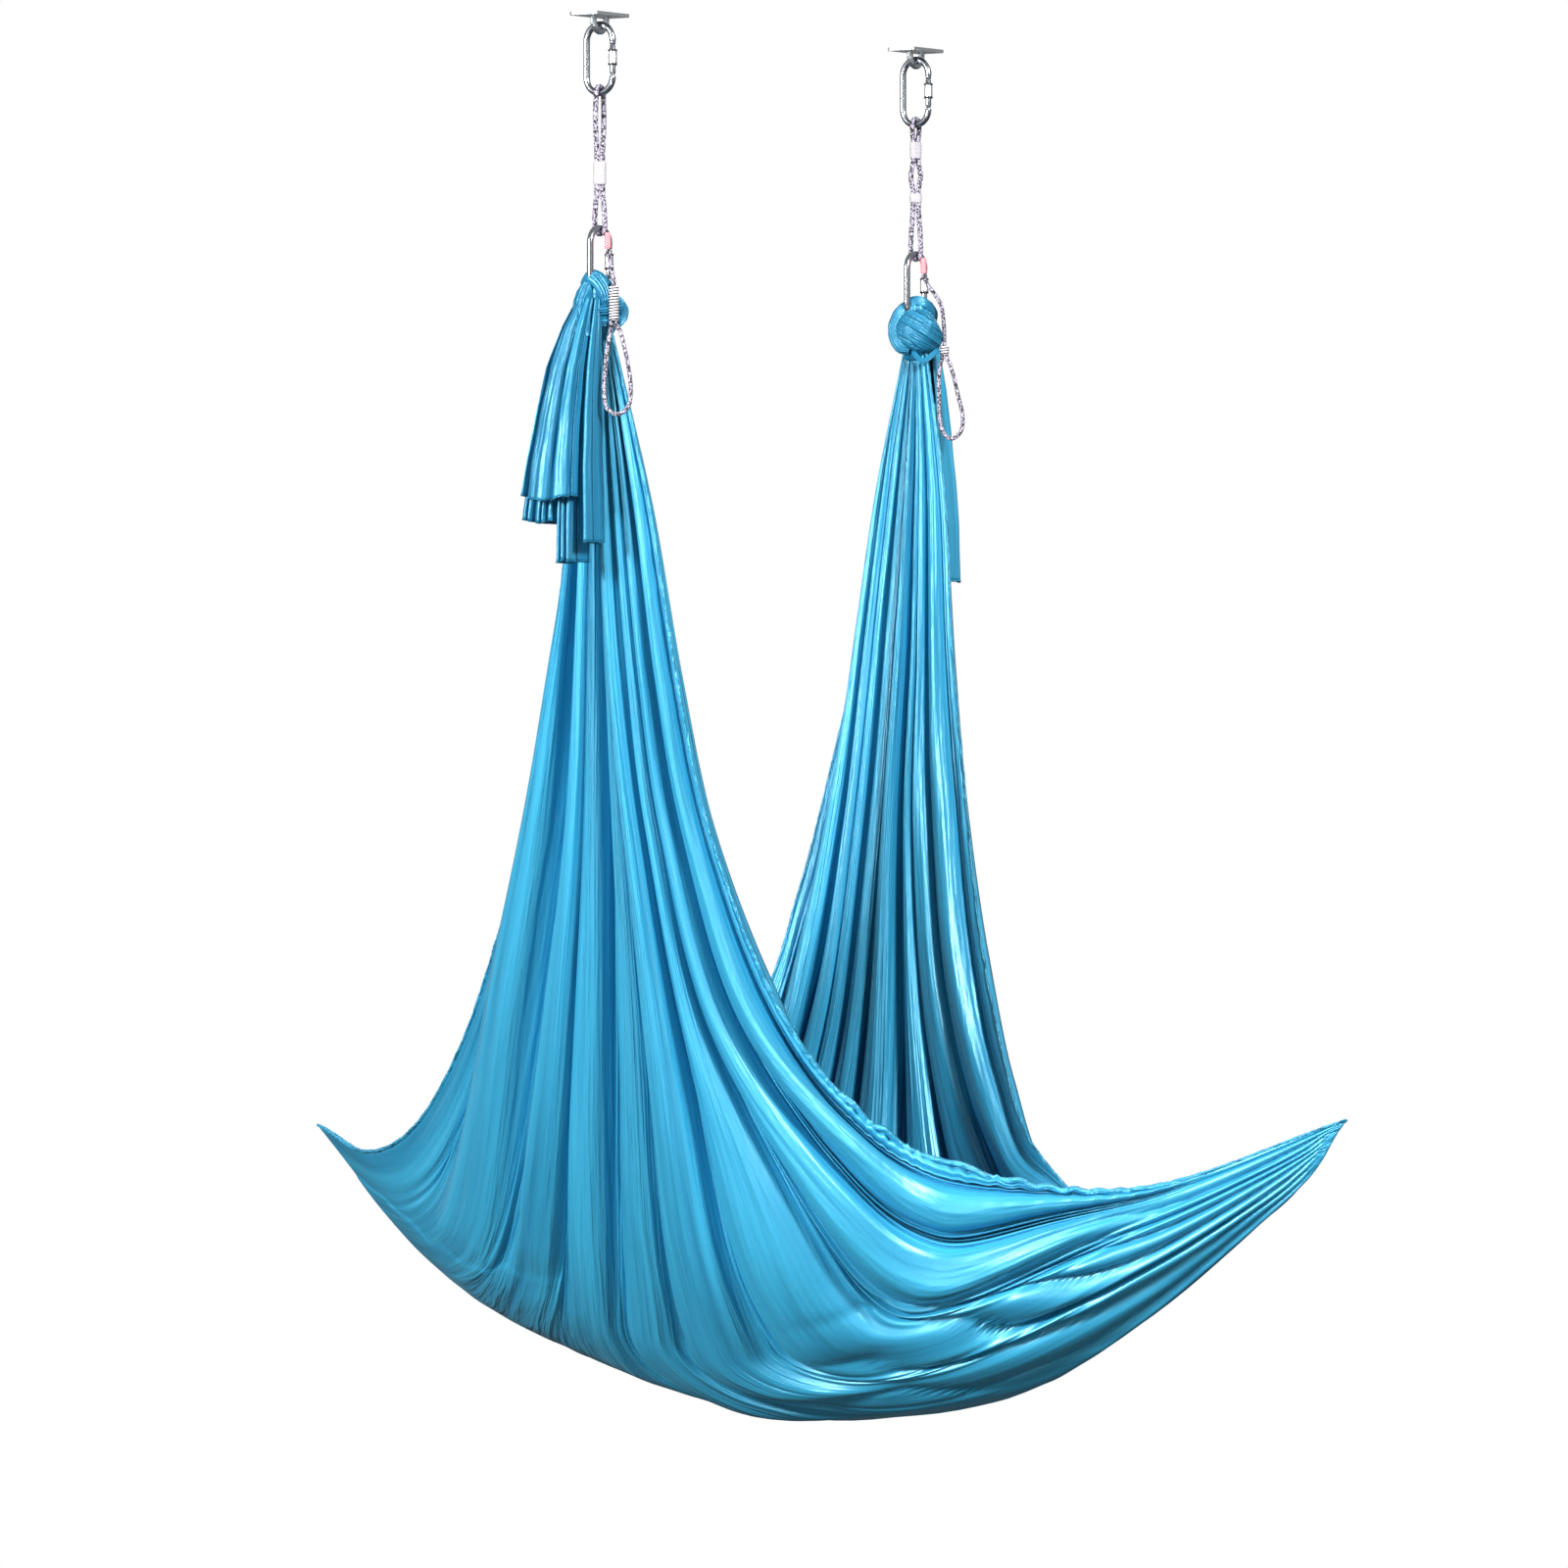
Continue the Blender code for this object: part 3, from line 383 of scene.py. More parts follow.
# %% Steel, aluminium and plastic
STEEL, tree, shader = start_material("bright_plated_steel", metallic=1.0, base_color=colour("#A2A6AC"))
where = add(tree, "TexCoord").outputs["Object"]
worn = add(tree, "TexNoise", {}, {"Vector": where, "Scale": 220.0, "Detail": 4.0})
rough = add(tree, "MapRange", {}, {"Value": worn.outputs["Fac"], "To Min": 0.14, "To Max": 0.30})
tree.links.new(rough.outputs["Result"], shader.inputs["Roughness"])
SLEEVE = start_material("turned_aluminium", metallic=1.0, roughness=0.32, base_color=colour("#E2E4E6"))[0]
RING = start_material("black_acetal", roughness=0.42, base_color=colour("#17171A"))[0]
SPRING = start_material("spring_steel", metallic=1.0, roughness=0.3, base_color=colour("#B9BABC"))[0]
ZINC, tree, shader = start_material("zinc_plated_steel", metallic=1.0, base_color=colour("#C2C6CA"))
where = add(tree, "TexCoord").outputs["Object"]
spangle = add(tree, "TexVoronoi", {}, {"Vector": where, "Scale": 160.0})
patch = add(tree, "MapRange", {},
            {"Value": spangle.outputs["Distance"], "To Min": 0.26, "To Max": 0.44})
tree.links.new(patch.outputs["Result"], shader.inputs["Roughness"])

# %% [markdown]
# ## Rope chains
# Between the two carabiners the cord is doubled and tied off as a closed loop. Its two strands
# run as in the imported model, side by side where the bindings hold them.

# %% Rope chains and their bindings
SIDE_Y = {"a": 0.0, "b": EYE_SPACING}
LOWER_TOP = 0.3207
CHAIN_TOP = 0.1192
CHAIN_RUN = LOWER_TOP - CHAIN_TOP
WRAP = 0.0093
BOUND = 0.00425
QUARTER = math.pi / 2
STRANDS = {
    "a": ((0.0, 0.475, 0.709, 1.0), (WRAP, BOUND, BOUND, WRAP), (QUARTER, VIEW_TURN, VIEW_TURN, 0.0)),
    "b": ((0.0, 0.123, 0.272, 0.401, 0.520, 0.619, 1.0),
          (WRAP, BOUND, BOUND, 0.0075, BOUND, BOUND, WRAP),
          (QUARTER, math.pi / 3, math.pi / 3, VIEW_TURN, VIEW_TURN, VIEW_TURN, 0.0)),
}
BINDINGS = {"a": ((0.510, 0.679),), "b": ((0.133, 0.262), (0.535, 0.604))}


def braid(radius, depth=0.00028, pitch=0.0030):
    """Radius of a braided sheath: two families of strands crossing round the core."""
    def size(gone, theta):
        one = np.cos(math.pi * gone / pitch + 4 * theta)
        two = np.cos(math.pi * gone / pitch - 4 * theta)
        return radius - depth + depth * np.maximum(one * one, two * two)
    return size


def strand_at(share, stations):
    """Half the gap of the two strands, and their turn, at a share of the run."""
    shares, spacings, turns = stations
    i = min(int(np.searchsorted(shares, share, side="right")) - 1, len(shares) - 2)
    t = float(ease(share, shares[i], shares[i + 1]))
    return spacings[i] + (spacings[i + 1] - spacings[i]) * t, turns[i] + (turns[i + 1] - turns[i]) * t


def chain_loop(stations):
    """The doubled strands as one closed line, down one side and up the other."""
    down = []
    for share in np.linspace(0, 1, 90):
        spacing, angle = strand_at(share, stations)
        down.append((spacing * math.cos(angle), spacing * math.sin(angle), -CHAIN_RUN * share))
    down = np.array(down)
    bend = np.linspace(0, math.pi, 14)[1:-1]
    foot = np.stack([WRAP * np.cos(bend), 0 * bend, -CHAIN_RUN - WRAP * np.sin(bend)], 1)
    head = np.stack([0 * bend, -WRAP * np.cos(bend), WRAP * np.sin(bend)], 1)
    return np.concatenate([down, foot, down[::-1] * (-1, -1, 1), head])


def wound(name, spacing, angle, top, length, radius, pitch, depth, material):
    """Twine wound round two strands, or round one place where spacing is 0."""
    theta = np.linspace(0, math.tau, 72, endpoint=False)
    along_z = np.arange(0, length + 1e-6, pitch / 6)
    turn = np.abs(np.sin(math.pi * along_z[:, None] / pitch + theta[None, :] / 2))
    edge = ease(along_z, 0, 0.0024)[:, None] * ease(length - along_z, 0, 0.0024)[:, None]
    size = (radius - depth + depth * turn) * (0.80 + 0.20 * edge)
    x = size * np.cos(theta) + spacing * np.sign(np.cos(theta))
    y = size * np.sin(theta)
    points = np.stack([*turned_by(angle, x, y), 0 * x - along_z[:, None]], -1) + top
    uv = np.stack(np.broadcast_arrays(along_z[:, None], theta / math.tau), -1)
    return closed(name, points, uv, material)


for side, y in SIDE_Y.items():
    path = chain_loop(STRANDS[side]) + (0, y, -CHAIN_TOP)
    chain = tube(f"chain_cord_{side}", path, 28, braid(0.0040, 0.0004, 0.0034), CORD, loop=True)
    fit(chain, f"rope_{side}", f"rope_chain_{side}")
    for number, (start, end) in enumerate(BINDINGS[side]):
        spacing, angle = strand_at((start + end) / 2, STRANDS[side])
        top = (0, y, -CHAIN_TOP - CHAIN_RUN * start)
        made = wound(f"binding_twine_{side}_{number + 1}", spacing, angle, top, CHAIN_RUN * (end - start),
                     0.0056, TURN_PITCH, 0.0005, TWINE)
        fit(made, f"rope_{side}", f"rope_binding_{side}_{number + 1}")

# %% [markdown]
# ## The two free ends of cord
# Below each carabiner hangs the rest of the cord: a link, a whipped section, and a loop that
# hangs open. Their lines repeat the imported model's, given from the lower carabiner's top.

# %% Free cord
CORD_RADIUS = 0.0032
CLEARANCE = 0.0003
TACK_LENGTH = 0.024
TACK_PLACE = (0.0148, 0, -0.0079)
LINK_ROUTES = {
    "a": [(0.0215, -0.0030, -0.0513), (0.0285, -0.0075, -0.0673), (0.0345, -0.0115, -0.0803),
          (0.0396, -0.0185, -0.0888)],
    "b": [(0.0225, 0.0020, -0.0513), (0.0330, 0.0050, -0.0653), (0.0425, 0.0090, -0.0843),
          (0.0455, 0.0115, -0.1143), (0.0455, 0.0130, -0.1453)],
}
LOOPS = {
    "a": [(0.0345, -0.0200, -0.1573), (0.0340, -0.0270, -0.1793), (0.0370, -0.0360, -0.2093),
          (0.0400, -0.0440, -0.2443), (0.0480, -0.0480, -0.2713), (0.0620, -0.0400, -0.2813),
          (0.0740, -0.0290, -0.2693), (0.0740, -0.0230, -0.2423), (0.0650, -0.0170, -0.2093),
          (0.0540, -0.0120, -0.1793), (0.0460, -0.0110, -0.1573)],
    "b": [(0.0420, 0.0080, -0.1733), (0.0410, 0.0040, -0.1943), (0.0440, 0.0000, -0.2243),
          (0.0480, -0.0040, -0.2593), (0.0560, -0.0040, -0.2833), (0.0680, 0.0020, -0.2913),
          (0.0790, 0.0100, -0.2793), (0.0790, 0.0140, -0.2543), (0.0700, 0.0150, -0.2243),
          (0.0610, 0.0160, -0.1943), (0.0530, 0.0170, -0.1733)],
}
WHIP_LENGTH = {"a": 0.052, "b": 0.014}


def lead(end, way):
    """Three points straight out of an end, 6 mm long. way is 1 for up and -1 for down."""
    return [(end[0], end[1], end[2] + way * 0.006 * k / 2) for k in range(3)]


def length_of(path):
    """A line's length in metres."""
    return float(np.linalg.norm(np.diff(path, axis=0), axis=1).sum())


for side, y in SIDE_Y.items():
    base = np.array((0, y, -LOWER_TOP))
    whip_top = LINK_ROUTES[side][-1]
    start = np.array(TACK_PLACE) - (0, 0, TACK_LENGTH + CLEARANCE)
    end = np.array(whip_top) + (0, 0, CLEARANCE)
    path = along(np.array(lead(start, -1) + LINK_ROUTES[side][:-1] + lead(end, 1)[::-1]) + base, 0.0008)
    sewn = wound(f"bar_tack_{side}", 0, 0, base + TACK_PLACE, TACK_LENGTH, 0.0048, TURN_PITCH, 0.0003,
                 STITCHED)
    fit(sewn, "sling", f"stitched_joint_{side}")
    whip = wound(f"striped_whipping_{side}", 0, 0, base + whip_top, WHIP_LENGTH[side], 0.0074,
                 STRIPE_PITCH / 2, 0.0006, STRIPED)
    fit(whip, "sling", f"whipped_section_{side}")
    link = tube(f"link_cord_braided_{side}", path, 24, braid(CORD_RADIUS), CORD)
    fit(link, "sling", f"link_cord_{side}")
    print("link cord", side, "metres", round(length_of(path), 3))
    under = whip_top[2] - WHIP_LENGTH[side] - CLEARANCE
    spread = RIGHT * (CORD_RADIUS + 0.0005)
    ends = [(whip_top[0] + spread.x * s, whip_top[1] + spread.y * s, under) for s in (-1, 1)]
    route = lead(ends[0], -1) + LOOPS[side] + lead(ends[1], -1)[::-1]
    path = along(np.array(route) + base, 0.0008)
    loop = tube(f"end_loop_braided_{side}", path, 24, braid(CORD_RADIUS), CORD)
    fit(loop, "sling", f"end_loop_{side}")
    print("end loop", side, "metres", round(length_of(path), 3))

# %% [markdown]
# ## Carabiners
# Each is an oval of 10 mm steel bar, 112 mm tall. On its open side a gate turns on a pin, and a
# threaded sleeve travels along the gate to lock it. The lower pair stands a quarter turn round.
# The ceiling plates, gate pins and gate springs stay as packed, with materials of their own.

# %% Carabiners
BOW = 0.024
STRAIGHT = 0.054
STOCK = 0.005
SHOULDER = -STRAIGHT / 2 + 0.0005
HINGE = SHOULDER + 0.0052
NOSE = STRAIGHT / 2 - 0.007
GATE_RADIUS = 0.0045
BORE = 0.0050
SLEEVE_RADIUS = 0.0066
SLEEVE_RISE = 0.0105


def lathe(name, profile, material, y, turn, centre, sides=48, relief=None, bored=False):
    """A turned piece on the gate's line: its profile is radius and height above the hinge.

    A bored piece has a hole through it, and its profile closes on itself.
    """
    theta = np.linspace(0, math.tau, sides, endpoint=False)
    profile = np.array(profile, float)
    radius = profile[:, :1] * np.ones((1, sides))
    if relief is not None:
        radius = radius + relief(profile[:, 1:], theta[None, :])
    x = BOW + radius * np.cos(theta)
    across = radius * np.sin(theta)
    spot = np.stack([*turned_by(turn, x, across), profile[:, 1:] + HINGE + 0 * x], -1) + (0, y, -centre)
    uv = np.stack(np.broadcast_arrays(profile[:, 1:], theta / math.tau), -1)
    return closed(name, spot, uv, material, loop=bored)


def knurl(height, theta):
    """Crossed grooves 0.2 mm deep on the middle of the sleeve."""
    held = ease(height, 0.0155, 0.0165) * (1 - ease(height, 0.0285, 0.0295))
    crossing = np.cos(18 * theta + height * 2600) * np.cos(18 * theta - height * 2600)
    return -0.0002 * held * (0.5 - 0.5 * crossing)


def carabiner(name, side, centre, turn, bodies):
    """One carabiner. centre is how far its middle lies below the ceiling, and turn is its heading."""
    y = SIDE_Y[side]
    body, gate_body, sleeve_body = bodies

    def turned(part, profile, material, *more, bored=False):
        """A lathe's piece on this carabiner's gate line."""
        return lathe(f"{name}_{part}_{side}", profile, material, y, turn, centre, *more, bored=bored)

    foot = [(BOW * math.cos(a), -STRAIGHT / 2 + BOW * math.sin(a)) for a in np.linspace(0, -math.pi, 40)]
    head = [(BOW * math.cos(a), STRAIGHT / 2 + BOW * math.sin(a)) for a in np.linspace(math.pi, 0, 40)]
    line = [(BOW, SHOULDER), (BOW, SHOULDER - 0.0003)] + foot + head
    line += [(BOW, STRAIGHT / 2 - 0.0004), (BOW, STRAIGHT / 2 - 0.0010)]
    line = [(x * math.cos(turn), y + x * math.sin(turn), z - centre) for x, z in line]
    bow = tube(f"{name}_bow_{side}", line, 32,
               lambda gone, theta: STOCK - 0.0007 * (1 - ease(gone, 0, 0.0012)), STEEL)
    fit(bow, body, f"{name}_{side}_body")
    low, high = NOSE - HINGE, STRAIGHT / 2 - HINGE
    nose = turned("nose", [(0.0036, low), (0.0043, low + 0.0006), (GATE_RADIUS, low + 0.003),
                           (GATE_RADIUS, high - 0.0012), (0.0048, high + 0.0002)], STEEL)
    fit(nose, body)
    top = low - 0.0006
    gate = turned("gate", [(0.0012, -0.0043), (0.0032, -0.0034), (0.0043, -0.0014), (GATE_RADIUS, 0.0006),
                           (GATE_RADIUS, top - 0.0008), (0.0038, top)], STEEL)
    fit(gate, gate_body, f"{name}_{side}_gate")
    low, high = SLEEVE_RISE + 0.0032, SLEEVE_RISE + 0.0208
    wall = [(SLEEVE_RADIUS, z) for z in np.linspace(low + 0.0002, high - 0.0002, 70)]
    ends = [(BORE, low - 0.0002), (SLEEVE_RADIUS, low)], [(SLEEVE_RADIUS, high), (BORE, high + 0.0002)]
    sleeve = turned("sleeve", ends[0] + wall + ends[1], SLEEVE, 144, knurl, bored=True)
    fit(sleeve, sleeve_body, f"{name}_{side}_sleeve")
    for part, low, high in (("low", SLEEVE_RISE, low), ("high", high, SLEEVE_RISE + 0.0240)):
        profile = [(BORE, low), (0.0062, low), (0.0069, low + 0.0007), (0.0070, low + 0.0016),
                   (0.0069, high - 0.0007), (0.0062, high), (BORE, high)]
        fit(turned(f"ring_{part}", profile, RING, bored=True), sleeve_body)


def show_packed(node, material):
    """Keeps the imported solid, and gives it its material."""
    NODES[node].data.materials.clear()
    NODES[node].data.materials.append(material)


for side in SIDE_Y:
    carabiner("upper_carabiner", side, 0.0682, 0.0,
              (f"upper_carabiner_{side}", f"upper_gate_{side}", f"upper_sleeve_{side}"))
    carabiner("lower_carabiner", side, 0.3717, QUARTER,
              ("sling", f"lower_gate_{side}", f"lower_sleeve_{side}"))
    for height in ("upper", "lower"):
        show_packed(f"{height}_carabiner_{side}_gate_pin", STEEL)
        show_packed(f"{height}_carabiner_{side}_gate_spring", SPRING)
    show_packed(f"ceiling_plate_{side}", ZINC)

# %% [markdown]
# ## The shape of the sling
# The cloth hangs as two panels that meet in a long cradle. Its guide lines run from knot to
# knot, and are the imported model's own. They are shares of the half width and of the drop.

# %% Guide lines
ACROSS = np.array((0.0, 0.12, 0.25, 0.50, 0.62, 0.76, 1.0))
FORWARD = (1.0, 0.97, 0.92, 0.84, 0.72, 0.56, 0.37, 0.18, 0.0)
FRONT_X = (
    (-0.019, -0.072, -0.119, -0.186, -0.310, -0.455, -0.630, -0.816, -1.0),
    (-0.015, -0.051, -0.088, -0.149, -0.257, -0.373, -0.502, -0.633, -0.76),
    (-0.010, -0.030, -0.057, -0.108, -0.195, -0.279, -0.358, -0.433, -0.5),
    (0.0, 0.0, -0.010, -0.030, -0.050, -0.060, -0.050, -0.030, 0.0),
    (0.004, 0.010, 0.012, 0.015, 0.041, 0.088, 0.176, 0.325, 0.450),
    (0.010, 0.030, 0.045, 0.055, 0.103, 0.249, 0.375, 0.630, 0.860),
    (0.019, 0.085, 0.114, 0.143, 0.209, 0.277, 0.402, 0.677, 1.0),
)
BACK_X = (
    (-0.019, -0.060, -0.085, -0.122, -0.172, -0.228, -0.393, -0.780, -1.0),
    (-0.015, -0.044, -0.066, -0.098, -0.148, -0.213, -0.353, -0.568, -0.76),
    (-0.010, -0.028, -0.045, -0.070, -0.110, -0.180, -0.290, -0.410, -0.5),
    (0.0, 0.0, -0.005, -0.010, -0.020, -0.030, -0.030, -0.020, 0.0),
    FRONT_X[4],
    (0.010, 0.028, 0.040, 0.055, 0.100, 0.200, 0.360, 0.620, 0.860),
    (0.019, 0.062, 0.086, 0.124, 0.176, 0.248, 0.354, 0.575, 1.0),
)
FRONT_Z = (
    (0.0, 0.170, 0.290, 0.410, 0.545, 0.655, 0.734, 0.763, 0.741),
    (0.0, 0.135, 0.271, 0.429, 0.600, 0.745, 0.840, 0.868, 0.864),
    (0.0, 0.105, 0.255, 0.445, 0.640, 0.790, 0.885, 0.924, 0.937),
    (0.0, 0.103, 0.252, 0.444, 0.651, 0.823, 0.934, 0.986, 1.0),
    (0.0, 0.115, 0.270, 0.448, 0.655, 0.840, 0.936, 0.968, 0.963),
    (0.0, 0.140, 0.300, 0.452, 0.635, 0.795, 0.869, 0.852, 0.803),
    (0.0, 0.170, 0.320, 0.458, 0.602, 0.691, 0.752, 0.777, 0.7125),
)
BACK_Z = (
    (0.0, 0.146, 0.260, 0.374, 0.512, 0.6265, 0.718, 0.795, 0.741),
    (0.0, 0.124, 0.258, 0.412, 0.582, 0.728, 0.832, 0.866, 0.864),
    *FRONT_Z[2:6],
    (0.0, 0.146, 0.290, 0.414, 0.542, 0.6504, 0.7500, 0.803, 0.7125),
)
HALF_WIDTH = 0.968
BUNDLE_START = 0.46505
DROP = 2.127 - BUNDLE_START
TIPS_Y = 0.100
SAG_Y = 0.038


def station_values(table, t):
    """Values of each guide line at each row's place between knot (0) and cradle (1)."""
    padded = with_ends(np.asarray(table, float).T)
    last = len(padded) - 3
    i = np.minimum((t * last).astype(int), last - 1)
    return curve(padded[i], padded[i + 1], padded[i + 2], padded[i + 3], (t * last - i)[:, None])


def between_lines(values, u):
    """Smooth values across the cloth, from those on the guide lines. u is a grid."""
    last = len(ACROSS) - 1
    low, high = np.maximum(np.arange(last + 1) - 1, 0), np.minimum(np.arange(last + 1) + 1, last)
    slopes = (values[:, high] - values[:, low]) / (ACROSS[high] - ACROSS[low])
    i = np.clip(np.searchsorted(ACROSS, u, side="left") - 1, 0, last - 1)
    width = ACROSS[i + 1] - ACROSS[i]
    s = (u - ACROSS[i]) / width
    a, b = np.take_along_axis(values, i, 1), np.take_along_axis(values, i + 1, 1)
    p, q = np.take_along_axis(slopes, i, 1), np.take_along_axis(slopes, i + 1, 1)
    return ((2 * s ** 3 - 3 * s ** 2 + 1) * a + (s ** 3 - 2 * s ** 2 + s) * width * p
            + (3 * s ** 2 - 2 * s ** 3) * b + (s ** 3 - s ** 2) * width * q)


def sling_surface(u, v):
    """Points of the smooth cloth: u from hem to hem, v from knot A (0) to knot B (2)."""
    t = np.where(v <= 1, v, 2 - v)
    front = (v <= 1)[:, None]
    x, z = [np.where(front, *[between_lines(station_values(table, t), u) for table in pair])
            for pair in ((FRONT_X, BACK_X), (FRONT_Z, BACK_Z))]
    last = np.repeat(station_values(FRONT_X, np.array([1.0])), len(v), 0)
    seat = TIPS_Y + SAG_Y * between_lines(last, u) ** 2
    reach = station_values([FORWARD], t)
    hang = np.where(front, -EYE_SPACING / 2, EYE_SPACING / 2)
    y = seat + (hang - seat) * reach
    return np.stack([x * HALF_WIDTH, y + EYE_SPACING / 2, -BUNDLE_START - z * DROP], -1)


# %% [markdown]
# ## Pleats
# The cloth is 2.8 m wide, and gathered into a bundle 40 mm thick at each knot. It gets there by
# deep pleats: broad round bands in front, with narrow dark clefts between them. Behind each
# band the rest of the cloth lies folded to and fro, which takes up most of its width.
#
# Columns of the grid follow the pleats. A third of them cross the round front of each band, and
# the others go through the folds behind it.

# %% Pleated cloth
CLOTH_WIDTH = 2.8
CLOTH_RUN = 3.6
CLOTH_THICKNESS = 0.0006
PLEATS = 9
ROWS = 460
DEPTHS = (0.015, 0.040, 0.062, 0.070, 0.066, 0.054, 0.040, 0.027, 0.012)
UPPER_A = (0.07, 0.25, 0.06, 0.17, 0.06, 0.14, 0.07, 0.11, 0.07)
UPPER_B = (0.10, 0.14, 0.07, 0.15, 0.08, 0.13, 0.07, 0.16, 0.10)
LOWER = (0.09, 0.11, 0.11, 0.10, 0.12, 0.12, 0.13, 0.11, 0.11)
# The top edge of the doubled cloth at the left end, in metres.
STEP_X = (-0.90, -0.784, -0.657, -0.468, -0.384, -0.300)
STEP_Z = (-1.770, -1.811, -1.870, -1.907, -1.910, -1.912)


def pleat_columns(pleats, front, behind, edge, gap):
    """Phases of a grid's columns: front of them cross each pleat's face, and behind its back folds."""
    share = np.concatenate([np.linspace(-0.25, 0.25, front, endpoint=False),
                            np.linspace(0.25, 0.75, behind, endpoint=False)])
    phase = np.concatenate([band + share for band in range(pleats + 1)])
    phase = phase[(phase > edge + gap) & (phase < pleats - edge - gap)]
    return np.concatenate([[edge], phase, [pleats - edge]])


def tip_distance(points):
    """How far each point is from the nearer end of the cradle, in metres."""
    tips = [points[len(points) // 2, 0], points[len(points) // 2, -1]]
    return np.minimum(*[np.linalg.norm(points - tip, axis=2) for tip in tips])


def height_share(points):
    """Each point's place from the bottom edge (0) up to the front hem (1), and the height there."""
    bottom = sling_surface(np.linspace(0.4, 1, 80)[None], np.array([1.0]))[0]
    brim = sling_surface(np.ones((80, 1)), np.linspace(0.6, 1, 80))[:, 0]
    low = np.interp(points[..., 0], bottom[:, 0], bottom[:, 2])
    high = np.interp(points[..., 0], brim[:, 0], brim[:, 2])
    return np.clip((points[..., 2] - low) / (high - low + 1e-6), 0, 1), high - low


def ridge(x):
    """Round bulges with sharp clefts between them, one for each whole step of x, from -1 to 1."""
    return 2 * np.sqrt(np.abs(np.cos(math.pi * x))) - 1


def across_cloth(phase, rows, t, middle):
    """Where each column lies across the cloth, from 0 to 1, and how wide its pleat is there."""
    spread = ease(t, 0.30, 0.85)
    upper = np.where(rows <= 1, np.array(UPPER_A), np.array(UPPER_B))
    shares = upper / upper.sum(1, keepdims=True) * (1 - spread) + np.array(LOWER) / sum(LOWER) * spread
    edges = np.concatenate([0 * t, np.cumsum(shares, 1)], 1)
    drift = (0.16 * np.sin(rows * 3.1 + phase) + 0.10 * wander(phase * 1.6, rows * 5, 3)) * middle
    count = np.arange(PLEATS + 1)
    u = np.stack([np.interp(at, count, row) for at, row in zip(phase - drift, edges)])
    local = np.stack([np.interp(at, count[:-1] + 0.5, row) for at, row in zip(phase, shares)])
    # Toward the bottom, the folds of the right half bend away and run to its end.
    power = 1 + 1.5 * ease(rows, 0.74, 1.0) * (1 - ease(rows, 1.0, 1.3))
    rest = np.clip(1 - (u - 0.3) / 0.7, 0, 1)
    local = np.where(u > 0.3, local * power * rest ** (power - 1), local)
    return np.where(u > 0.3, 1 - 0.7 * rest ** power, u), local


def doubled_edge(smooth, rows):
    """Where the left end's cloth is doubled along its bottom edge, and where pleats end at its step."""
    ahead = smooth[..., 0]
    step = np.interp(ahead, STEP_X, STEP_Z) + 0.002 * np.sin(ahead * 70)
    doubled = 1 - ease(smooth[..., 2] - step, -0.003, 0.003)
    doubled = doubled * ease(ahead, -0.93, -0.84) * (1 - ease(ahead, -0.42, -0.26))
    doubled = doubled * (1 - ease(rows, 1.0, 1.06))
    below = 1 - ease(smooth[..., 2] - step, -0.03, 0.05)
    return doubled, below * ease(-ahead, 0.22, 0.42) * (1 - ease(rows, 1.0, 1.10))


def long_folds(share, height, ahead):
    """Relief in metres of the folds that run along the bottom edge to the right tip."""
    edges_calm = ease(share, 0, 0.03) * ease(1 - share, 0, 0.06)
    bend = 0.7 * wander(share * 3, ahead * 1.5, 15) + 0.2 * wander(share * 9, ahead * 4, 16)
    size = 0.65 + 0.7 * ease(wander(share * 5, ahead * 1.2, 18), -0.5, 0.7)
    return np.minimum(0.013, 0.055 * height) * size * edges_calm * ridge(8 * share ** 0.85 + bend)


